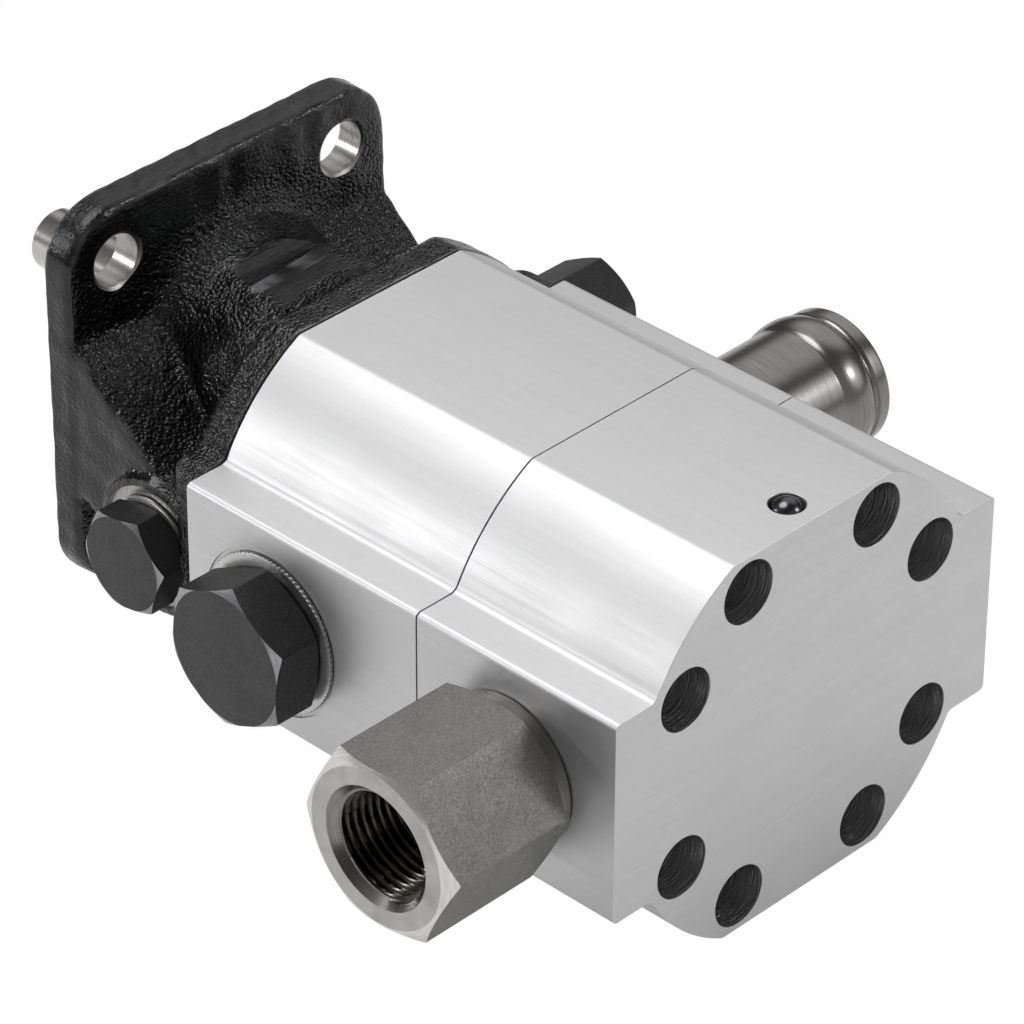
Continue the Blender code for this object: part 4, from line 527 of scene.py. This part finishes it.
def meltedShells(name, shells, voxel, smoothing):
    # overlapping closed shells become one skin on a voxel grid, relaxed a few times
    meshes = bmesh.new()
    for shell in shells:
        meshes.from_mesh(shell.data)
    mesh = bpy.data.meshes.new(name)
    meshes.to_mesh(mesh)
    meshes.free()
    for shell in shells:
        bpy.data.objects.remove(shell, do_unlink=True)
    piece = linked(name, mesh)
    melt = piece.modifiers.new("melt", "REMESH")
    melt.mode = "VOXEL"
    melt.voxel_size = voxel * mm
    relax = piece.modifiers.new("relax", "SMOOTH")
    relax.factor = 0.5
    relax.iterations = smoothing
    return baked(piece)


def castGrain(piece, look):
    # each point moves along its normal by a sum of sine waves 3 to 9 mm long, the waviness of a sand mould
    mesh = piece.data
    count = len(mesh.vertices)
    points = np.empty(count * 3)
    normals = np.empty(count * 3)
    mesh.vertices.foreach_get("co", points)
    mesh.vertices.foreach_get("normal", normals)
    points, normals = points.reshape(-1, 3), normals.reshape(-1, 3)
    generator = np.random.default_rng(look["grainSeed"])
    height = np.zeros(count)
    for length in look["grainLengths"]:
        for _ in range(3):
            direction = generator.normal(size=3)
            direction /= np.linalg.norm(direction)
            turns = points @ direction * 2 * math.pi / (length * mm)
            height += np.sin(turns + generator.uniform(0, 6.28)) * length / 20
    points += normals * (height * look["grainDepth"] * mm)[:, None]
    mesh.vertices.foreach_set("co", points.ravel())
    mesh.update()


def castShells(look, iron):
    # base plate, flange, gusset, neck and valve barrel, each a closed shell
    proud, baseEnd, back = look["proud"], look["baseEnd"], look["flangeStart"]
    body, edge = bodyLook, look["baseEdge"]
    base = housingOutline(look["earHalf"], bodyHalfHeight + proud, body["lugHalf"] + proud,
                          body["barrel"] + proud, look["earCorner"], body["root"], body["flatEdge"])
    stations = [coverStart - 3, baseEnd - edge, baseEnd - 0.3 * edge, baseEnd]
    shells = [extruded("base", base, "Y", stations, iron, [0, 0, 0.3 * edge, edge])]
    half, corner, edge = look["flangeHalf"], look["flangeCorner"], look["flangeEdge"]
    quarter = arc((half - corner, half - corner), corner, 0, math.pi / 2, 20)
    square = mirroredOutline(quarter) + (0, axisHeight)
    front = back + look["flangeThickness"] + 3
    shells.append(extruded("flange", square, "Y", [back, back + 0.3 * edge, back + edge, front], iron,
                           [edge, 0.3 * edge, 0, 0]))
    shells.append(extruded("gusset", look["gusset"], "X", [-look["gussetHalf"], look["gussetHalf"]], iron))
    # the neck widens to the flange as radius = neck + flareWidth * share ** 2
    share = np.linspace(0, 0.9, 8)[:, None]
    flare = np.concatenate([look["neck"] + look["flareWidth"] * share ** 2,
                            back - look["neckFlare"] * (1 - share)], 1)
    start, end, root, wide = look["neckStart"], look["neckEnd"], look["neckRoot"], look["neckFlange"]
    neck = np.concatenate([[(0, start), (root, start), (root, baseEnd), (look["neck"] + 1, baseEnd + 5)],
                           flare, [(wide, back), (wide, end), (0, end)]])
    shells.append(turned("neck", neck, "Y", shaftCentre, 96, iron))
    barrel = rectangle(0, look["barrelLow"], look["barrel"], look["barrelHigh"])
    shells.append(turned("barrel", barrel, "X", valveCentre, 96, iron))
    return shells


def frontCover(look):
    iron, machined = ["paintedCastIron"], ["machinedIron"]
    piece = meltedShells("frontCover", castShells(look, iron), look["voxel"], look["smooth"])
    piece.data.materials.clear()
    piece.data.materials.append(finishes["paintedCastIron"])
    castGrain(piece, look)
    # machining: neck flat, joint face, flange face, bolt holes and the two ends of the valve barrel
    back, start, end, flat = look["flangeStart"], look["skimStart"], look["skimEnd"], look["skimHeight"]
    front = back + look["flangeThickness"]
    skim = rounded(rectangle(start, flat, end, look["skimTop"]), (0.5, look["skimBlend"], 0, 0), 8)
    wide, deep = 90, 20
    sheet = rectangle(-wide, -wide, wide, wide)
    tools = [extruded("skimCut", skim, "X", [-look["skimHalf"], look["skimHalf"]], iron),
             extruded("jointCut", sheet, "Y", [coverStart - deep, coverStart], machined),
             extruded("faceCut", sheet, "Y", [front, front + deep], machined)]
    hole, rim = look["hole"], look["holeRim"]
    profile = [(0, back - 4), (hole + rim + 0.3, back - 4), (hole + rim + 0.3, back), (hole, back + rim),
               (hole, front - rim), (hole + rim, front), (hole + rim, front + 4), (0, front + 4)]
    for side in (-1, 1):
        for rise in (-1, 1):
            centre = (side * look["holeHalf"], 0, axisHeight + rise * look["holeHalf"])
            tools.append(turned("boltHole", profile, "Y", centre, 64, machined))
    tools += [boreTool(*row, finish="machinedIron") for row in look["valveBores"]]
    combined(piece, "DIFFERENCE", tools)
    # the pilot boss, then the bore for the seal and the shaft
    face, radius = front + look["pilotHeight"], look["pilot"]
    start, cut = look["pilotStart"], look["pilotChamfer"]
    pilot = turned("pilot", [(0, start), (radius, start), (radius, face - cut), (radius - cut, face),
                             (0, face)], "Y", shaftCentre, 160, machined)
    combined(piece, "UNION", [pilot])
    seat, floor = look["shaftBore"], face - look["shaftBoreDepth"]
    shaft, cut = look["shaftHole"], look["boreChamfer"]
    bore = turned("sealBore", [(0, face + 3), (seat + cut, face + 3), (seat + cut, face), (seat, face - cut),
                               (seat, floor), (shaft, floor), (shaft, 100), (0, 100)],
                  "Y", shaftCentre, 96, machined)
    combined(piece, "DIFFERENCE", [bore])
    return placed(shaded(piece, 20), "housing", "painted_cast_iron", "front_cover")


frontCover(coverLook)
print("cover made")


def facesByNormal(piece, chamferSlot, faceSlot):
    # faces square to X take one finish, and the sloped ones between them and the flats another
    slope, square = 0.25, 0.95
    mesh = piece.data
    count = len(mesh.polygons)
    normals = np.empty(count * 3)
    slots = np.empty(count, int)
    mesh.polygons.foreach_get("normal", normals)
    mesh.polygons.foreach_get("material_index", slots)
    lean = np.abs(normals.reshape(-1, 3)[:, 0])
    slots[(lean > slope) & (lean < square)] = chamferSlot
    slots[lean >= square] = faceSlot
    mesh.polygons.foreach_set("material_index", slots)
    mesh.update()


def hexagonBar(name, look, materials):
    # a hexagon with softened corners carried along X, met by a lathe-turned form that takes its corners off
    corner = look["flats"] / math.sqrt(3)
    angle = math.radians(look["turn"]) + np.arange(6) * math.pi / 3
    outline = rounded(np.stack([corner * np.cos(angle), corner * np.sin(angle)], -1), look["soft"], 4)
    low, high = look["low"], look["high"]
    bar = extruded(name, outline, "X", [low - 1, high + 1], materials)
    bar.data.transform(Matrix.Translation(np.array(look["centre"]) * mm))
    wide, face = corner + 1, look["face"]
    rise = (wide - face) * math.tan(math.radians(30))
    profile = rounded([(0, low), (face, low), (wide, low + rise), (wide, high - rise), (face, high),
                       (0, high)], (0, 0.12, 0, 0, 0.12, 0), 2)
    form = turned("turnedForm", profile, "X", look["centre"], 160, [materials[1]])
    return combined(bar, "INTERSECT", [form])


def spanInX(name):
    low, high = nodeBox(name)
    return float(low[0]), float(high[0])


checkHead = (spanInX("check_valve_plug")[0], spanInX("check_plug_washer")[0] - 0.3)
smallHead = (spanInX("small_plug")[0], spanInX("small_plug_washer")[0] - 0.3)
capHead = (spanInX("valve_cap_washer")[1] + 0.3, spanInX("valve_cap")[1])
plugLooks = {
    "checkValvePlug": {"node": "check_valve_plug", "centre": checkCentre, "flats": 26.9, "face": 13.6,
                       "turn": -24.3, "low": checkHead[0], "high": checkHead[1], "soft": 0.5, "spigot": 10.0,
                       "nose": -35.3},
    "smallPlug": {"node": "small_plug", "centre": valveCentre, "flats": 19.0, "face": 9.6, "turn": -9.7,
                  "low": smallHead[0], "high": smallHead[1], "soft": 0.4, "spigot": 7.0, "nose": -33.4},
    "valveCap": {"node": "valve_cap", "centre": valveCentre, "flats": 19.4, "face": 9.6, "turn": 34.0,
                 "low": capHead[0], "high": capHead[1], "soft": 0.4, "spigot": 8.6,
                 "nose": capHead[0] - 11.3},
}


def plug(name, look):
    piece = hexagonBar(name, look, ["blackOxide", "wornOxideAndHighlight", "blackOxideFace"])
    nose, radius = look["nose"], look["spigot"]
    inside = look["high"] - 1 if nose > look["low"] else look["low"] + 1
    combined(piece, "UNION", [turned("spigot", rectangle(0, nose, radius, inside), "X", look["centre"], 72,
                                     ["wornOxideAndHighlight"])])
    # sloped chamfer faces take the paler worn finish: bare turned metal and a painted highlight
    facesByNormal(piece, 1, 2)
    return placed(shaded(piece), "housing", "black_oxide_steel", look["node"])


for name, look in plugLooks.items():
    plug(name, look)
print("plugs made")


washerLooks = {
    "checkPlugWasher": {"node": "check_plug_washer", "centre": checkCentre, "inner": 10.3, "outer": 16.3,
                        "steps": 576, "teeth": 96, "toothDepth": 0.25},
    "smallPlugWasher": {"node": "small_plug_washer", "centre": valveCentre, "inner": 7.3, "outer": 10.6,
                        "steps": 96},
    "valveCapWasher": {"node": "valve_cap_washer", "centre": valveCentre, "inner": 8.9, "outer": 10.6,
                       "steps": 96},
}


def washer(name, look):
    # a flat ring; the serrated one's rim dips by depth * (0.5 - 0.5 * cos(teeth * angle))
    low, high = spanInX(look["node"])
    inner, outer = look["inner"], look["outer"]
    profile = rounded(rectangle(inner, low, outer, high), (0.05, 0.12, 0.12, 0.05), 2)

    def serrated(radius, station, angle):
        wave = 0.5 - 0.5 * np.cos(angle * look["teeth"])
        return radius - np.where(radius > outer - 0.3, look["toothDepth"] * wave[None, :], 0)

    piece = turned(name, profile, "X", look["centre"], look["steps"], ["knurledSteel"], True,
                   serrated if "teeth" in look else None)
    return placed(shaded(piece), "housing", "washer_steel", look["node"])


for name, look in washerLooks.items():
    washer(name, look)


# Outlet adapter: drawn hexagon bar, turned at both ends and tapped with a tapered pipe thread
outletLook = {"node": "outlet_fitting", "centre": outletCentre, "flats": 32.8, "face": 15.75, "turn": -3.1,
              "soft": 0.5, "low": -83.2, "high": -53.6, "collar": 15.4, "collarEnd": -50.3, "spigot": 10.4,
              "spigotEnd": -38.5, "rim": 12.2, "rimDepth": 1.6, "groove": 11.1, "crest": 10.0, "pitch": 1.814,
              "pitchSteps": 10, "sharpness": 1.25, "crestFlat": 0.1, "taper": 1 / 32, "threadEnd": -64.0,
              "passage": 7.0}


def outletFitting(look):
    piece = hexagonBar("outletFitting", look, ["grainySteel", "turnedSteel", "chamferSteel"])
    back, wide, collarEnd = look["high"] - 2, look["collar"], look["collarEnd"]
    narrow, spigotEnd = look["spigot"], look["spigotEnd"]
    collar = rounded([(0, back), (wide, back), (wide, collarEnd), (narrow, collarEnd), (narrow, spigotEnd),
                      (0, spigotEnd)], (0, 0, 0.7, 0, 0.6, 0), 3)
    combined(piece, "UNION", [turned("collar", collar, "X", look["centre"], 128, ["polishedSteel"])])
    # sloped chamfer faces take the paler chamfer finish, a painted highlight on bare turned steel
    facesByNormal(piece, 2, 1)
    face, threadEnd, pitch = look["low"], look["threadEnd"], look["pitch"]
    depth, rimEnd = look["groove"] - look["crest"], face + look["rimDepth"]
    mouth = [(0, face - 3), (look["rim"] + 3, face - 3), (look["rim"], face), (look["groove"] - 0.4, rimEnd),
             (0, rimEnd)]
    # thread: radius = crest - taper * distance + depth * wave, phase = station / pitch + angle / a full turn
    # and wave = sharpness * (1 - |2 * phase - 1|) - crestFlat, kept within 0 and 1
    station = np.arange(face - 1, threadEnd, pitch / look["pitchSteps"])
    tapered = look["taper"] * (station - face)

    def helix(radius, along, angle):
        phase = (along / pitch + angle[None, :] / (2 * math.pi)) % 1
        wave = np.clip((1 - np.abs(2 * phase - 1)) * look["sharpness"] - look["crestFlat"], 0, 1)
        return np.where(radius > 1, radius + depth * wave, radius)

    profile = np.concatenate([[(0, station[0])], np.stack([look["crest"] - tapered, station], -1),
                              [(0, station[-1])]])
    # the thread's near-black colour is partly an oil tint and partly painted shade inside the bore
    thread = turned("thread", profile, "X", look["centre"], 120, ["threadSteel"], False, helix)
    passage = turned("passage", rectangle(0, threadEnd - 4, look["passage"], spigotEnd + 3), "X",
                     look["centre"], 64, ["threadSteel"])
    mouthTool = turned("mouth", mouth, "X", look["centre"], 120, ["polishedSteel"])
    combined(piece, "DIFFERENCE", [mouthTool, thread, passage])
    return placed(shaded(piece, 35), "housing", "plain_steel", look["node"])


outletFitting(outletLook)
print("outlet made")


# Suction tube: drawn steel with a rolled bead, polished
tubeLook = {"node": "inlet_tube", "outer": 14.2, "wall": 1.9, "seat": 39.0, "reach": 86.6, "bead": 15.1,
            "beadStart": 74.4, "beadEnd": 81.8, "beadPower": 0.6, "groove": 0.55, "grooveWidth": 1.6,
            "lip": 0.9}


def inletTube(look):
    # bead: outer + rise * sin(pi * share) ** beadPower; groove after it: outer - groove * sin(pi * share)
    outer, inner, reach = look["outer"], look["outer"] - look["wall"], look["reach"]
    beadStart, beadEnd, lip = look["beadStart"], look["beadEnd"], look["lip"]
    share = np.linspace(0, 1, 16)[:, None]
    wave = np.sin(math.pi * share)
    swell = np.concatenate([outer + (look["bead"] - outer) * wave ** look["beadPower"],
                            beadStart + (beadEnd - beadStart) * share], 1)
    groove = np.concatenate([outer - look["groove"] * wave, beadEnd + look["grooveWidth"] * share], 1)[1:]
    rim = arc((outer - lip, reach - lip), lip, 0, math.pi / 2, 6)
    profile = np.concatenate([[(outer, look["seat"]), (outer, beadStart - 0.4)], swell, groove, rim,
                              [(inner + 0.4, reach), (inner, reach - 0.5), (inner, look["seat"])]])
    piece = turned("inletTube", profile, "X", inletCentre, 160, ["polishedSteel"], True)
    return placed(shaded(piece, 40), "housing", "plated_steel", look["node"])


inletTube(tubeLook)


# Drive shaft, its key, and the seal and ring round it
shaftLook = {"radius": 6.35, "journal": 8.0, "start": 11.6, "shoulder": 108.6, "chamfer": 0.8, "key": 3.175,
             "keyLength": 25.4, "keySetback": 3.0, "keyGap": 0.05, "endGap": 0.3}


def driveShaft(look):
    radius, journal, cut, gap = look["radius"], look["journal"], look["chamfer"], look["keyGap"]
    start, shoulder, end = look["start"], look["shoulder"], float(nodeBox("drive_shaft")[1][1])
    profile = rounded([(0, start), (journal, start), (journal, shoulder), (radius, shoulder),
                       (radius, end - cut), (radius - cut, end), (0, end)],
                      (0, 0.4, 0.4, 0.2, 0.2, 0.2, 0), 3)
    piece = turned("driveShaft", profile, "Y", shaftCentre, 128, ["groundSteel"])
    half, keyEnd = look["key"] / 2 + gap, end - look["keySetback"]
    outline = rounded(rectangle(-half, -half, half, half), 0.1, 2)
    seatEnds = [keyEnd - look["keyLength"] - look["endGap"], keyEnd + look["endGap"]]
    slotTool = extruded("keyseat", outline + (radius + gap, axisHeight), "Y", seatEnds, ["groundSteel"])
    combined(piece, "DIFFERENCE", [slotTool])
    return placed(shaded(piece), "drive_train", "ground_steel", "drive_shaft")


def shaftKey():
    low, high = nodeBox("shaft_key")
    cut = 0.2
    outline = rounded(rectangle(low[0], low[2], high[0], high[2]), cut, 3)
    stations = [low[1], low[1] + cut, high[1] - cut, high[1]]
    piece = extruded("shaftKey", outline, "Y", stations, ["groundSteel"], [cut, 0, 0, cut])
    return placed(shaded(piece), "drive_train", "ground_steel", "shaft_key")


sealLook = {"outer": 14.0, "shell": 12.0, "inner": 6.5}


def shaftSeal(look):
    # a metal-backed ring whose lip leans in to the shaft
    low, high = nodeBox("shaft_seal")
    start, end = float(low[1]), float(high[1])
    outer, shell, inner = look["outer"], look["shell"], look["inner"]
    profile = rounded([(outer, start), (outer, end), (shell, end), (shell - 1.2, end - 1.6),
                       (inner + 1.6, end - 1.6), (inner, end - 0.2), (inner, end - 1.8),
                       (inner + 0.9, start + 1.2), (shell, start + 2), (shell, start)], 0.25, 3)
    piece = turned("shaftSeal", profile, "Y", shaftCentre, 96, ["nitrileRubber"], True)
    return placed(shaded(piece), "housing", "nitrile_rubber", "shaft_seal")


ringLook = {"outer": 15.0, "inner": 12.2}


def retainingRing(look):
    low, high = nodeBox("retaining_ring")
    outer, inner = look["outer"], look["inner"]
    profile = rounded(rectangle(inner, low[1], outer, high[1]), 0.12, 2)
    piece = turned("retainingRing", profile, "Y", shaftCentre, 96, ["blackOxide"], True)
    return placed(shaded(piece), "housing", "black_oxide_steel", "retaining_ring")


driveShaft(shaftLook)
shaftKey()
shaftSeal(sealLook)
retainingRing(ringLook)
print("shaft made")


# The pressed ball and the eight socket-head screws at the floors of their counterbores
ballLook = {"node": "ball_plug", "radius": 3.3, "depth": 2.2}


def ballPlug(look):
    # a sphere: radius * (cos, sin) of the latitude carried round Z
    profile = arc((0, 0), look["radius"], -math.pi / 2, math.pi / 2, 33)
    profile[[0, -1], 0] = 0
    centre = (0, ballAt, bodyHalfHeight - look["depth"])
    # the ball's dark colour is painted shade in its hole
    piece = turned("ballPlug", profile, "Z", centre, 64, ["ballSteel"])
    return placed(shaded(piece), "housing", "ground_steel", look["node"])


screwLook = {"head": 5.95, "headHeight": 7.9, "shank": 3.95, "seat": 27.7, "tip": 114.6, "socket": 6.35,
             "socketDepth": 4.0}


def bodyScrew(number, x, z, look):
    head, shank, seat, tip = look["head"], look["shank"], look["seat"], look["tip"]
    top = seat - look["headHeight"]
    profile = rounded([(0, top), (head, top), (head, seat), (shank, seat), (shank, tip), (0, tip)],
                      (0, 0.5, 0.2, 0.2, 0.6, 0), 3)
    piece = turned(f"bodyScrew{number}", profile, "Y", (x, 0, z), 64, ["blackOxide"])
    corner = look["socket"] / math.sqrt(3)
    angle = np.arange(6) * math.pi / 3
    outline = np.stack([x + corner * np.cos(angle), z + corner * np.sin(angle)], -1)
    socket = extruded("socket", outline, "Y", [top - 2, top + look["socketDepth"]], ["blackOxide"])
    combined(piece, "DIFFERENCE", [socket])
    return placed(shaded(piece), "housing", "black_oxide_steel", f"body_screw_{number}")


ballPlug(ballLook)
for number in range(1, 9):
    low, high = nodeBox(f"body_screw_{number}")
    bodyScrew(number, float(low[0] + high[0]) / 2, float(low[2] + high[2]) / 2, screwLook)
print("fasteners made")


# Inner pieces keep their solids and take the finish of their own slot
slotFinishes = {
    "milled_aluminium": "milledAluminium", "painted_cast_iron": "paintedCastIron",
    "ground_steel": "groundSteel", "plated_steel": "polishedSteel", "plain_steel": "grainySteel",
    "black_oxide_steel": "blackOxide", "washer_steel": "knurledSteel", "bronze": "bronze",
    "bearing_alloy": "bearingAlloy", "nitrile_rubber": "nitrileRubber", "spring_steel": "springSteel",
}
slotOf = {entry["node"]: entry["material_slot"] for entry in frame["record"]["subparts"]}
for name, node in nodes.items():
    for materialSlot in node.material_slots:
        materialSlot.material = finishes[slotFinishes[slotOf[name]]]
print("inner pieces finished")


# Studio: a pale floor, and soft panels all round that the metal mirrors. A panel is its direction, the
# cosines at which it starts and is full, and its strength.
studioLook = {"floor": "#F2F2F2", "floorSeen": 0.95, "floorMirror": 0.3, "floorGlow": 1.03, "floorSize": 6.0,
              "floorDrop": 0.0005, "ground": 0.12,
              "panels": (((-0.76, 0.58, 0.30), 0.60, 0.92, 0.15), ((0.62, 0.31, 0.70), 0.80, 0.95, 0.85),
                         ((0.62, -0.68, 0.40), 0.93, 0.985, 1.15), ((-0.10, -0.95, 0.25), 0.70, 0.95, 0.25))}


def studioFloor(look):
    half = look["floorSize"] / 2
    mesh = bpy.data.meshes.new("floor")
    corners = [(x, y, 0) for x, y in rectangle(-half, -half, half, half)]
    mesh.from_pydata(corners, [], [(0, 1, 2, 3)])
    floor = linked("floor", mesh)
    floor.location.z = -look["floorDrop"]
    made = bpy.data.materials.new("paleFloor")
    made.use_nodes = True
    tree = made.node_tree
    tree.nodes.clear()
    path = addNode(tree, "LightPath", {})
    paint = addNode(tree, "BsdfDiffuse", {"Color": toLinear(look["floor"])})
    glow = addNode(tree, "Emission", {"Strength": look["floorGlow"]})
    seen = addNode(tree, "Math", {"operation": "MULTIPLY", 1: look["floorSeen"]},
                   {0: path.outputs["Is Camera Ray"]})
    share = addNode(tree, "Math", {"operation": "MULTIPLY_ADD", 1: look["floorMirror"]},
                    {0: path.outputs["Is Glossy Ray"], 2: seen})
    both = addNode(tree, "MixShader", {}, {0: share, 1: paint, 2: glow})
    addNode(tree, "OutputMaterial", {}, {0: both})
    mesh.materials.append(made)


def studioSky(look):
    # strength = ground + the sum over panels of gain * smoothstep(outer, inner, direction . panel)
    world = bpy.data.worlds.new("studio")
    world.use_nodes = True
    tree = world.node_tree
    tree.nodes.clear()
    path = addNode(tree, "LightPath", {})
    coords = addNode(tree, "TexCoord", {})
    total = addNode(tree, "Value", {})
    total.outputs[0].default_value = look["ground"]
    for toward, outer, inner, gain in look["panels"]:
        along = addNode(tree, "VectorMath", {"operation": "DOT_PRODUCT", 1: Vector(toward).normalized()},
                        {0: coords.outputs["Generated"]})
        lit = addNode(tree, "MapRange", {"interpolation_type": "SMOOTHSTEP", "From Min": outer,
                                         "From Max": inner, "To Max": gain},
                      {"Value": along.outputs["Value"]})
        total = addNode(tree, "Math", {"operation": "ADD"}, {0: total, 1: lit})
    soft = addNode(tree, "Background", {"Color": (1, 1, 1, 1)}, {"Strength": total})
    white = addNode(tree, "Background", {"Color": (1, 1, 1, 1), "Strength": 1.0})
    both = addNode(tree, "MixShader", {}, {0: path.outputs["Is Camera Ray"], 1: soft, 2: white})
    addNode(tree, "OutputWorld", {}, {0: both})
    bpy.context.scene.world = world


lampLooks = {
    "topLamp": {"at": (-0.16, 0.26, 1.10), "aim": (0, 0, 0.04), "size": 0.8, "power": 8.0},
    "leftLamp": {"at": (-0.85, 0.75, 0.50), "aim": (-0.1, 0, 0.02), "size": 0.11, "power": 3.0},
    "rightLamp": {"at": (0.75, -1.0, 0.75), "aim": (0, 0, 0.04), "size": 0.25, "power": 2.5},
}


def studioLamp(name, look):
    light = bpy.data.lights.new(name, "AREA")
    light.shape = "DISK"
    light.size = look["size"]
    light.energy = look["power"]
    lamp = linked(name, light)
    lamp.location = look["at"]
    aim = Vector(look["aim"]) - Vector(look["at"])
    lamp.rotation_euler = aim.to_track_quat("-Z", "Y").to_euler()


# The camera: place in millimetres from the datum, turn in degrees, lens and sensor in millimetres
cameraLook = {"at": (-626.4343, -532.4294, 590.9834), "turn": (56.188608, -0.203840, -45.824345),
              "lens": 199.51744, "sensor": 36.0, "near": 0.01, "far": 20.0}


def studioCamera(look):
    camera = bpy.data.cameras.new("camera")
    camera.lens = look["lens"]
    camera.sensor_width = look["sensor"]
    camera.clip_start = look["near"]
    camera.clip_end = look["far"]
    holder = linked("camera", camera)
    holder.location = Vector(np.array(look["at"]) * mm + datum)
    holder.rotation_euler = [math.radians(angle) for angle in look["turn"]]
    bpy.context.scene.camera = holder


studioFloor(studioLook)
studioSky(studioLook)
for name, look in lampLooks.items():
    studioLamp(name, look)
studioCamera(cameraLook)
bpy.context.scene.view_settings.view_transform = "Standard"
print("studio made")
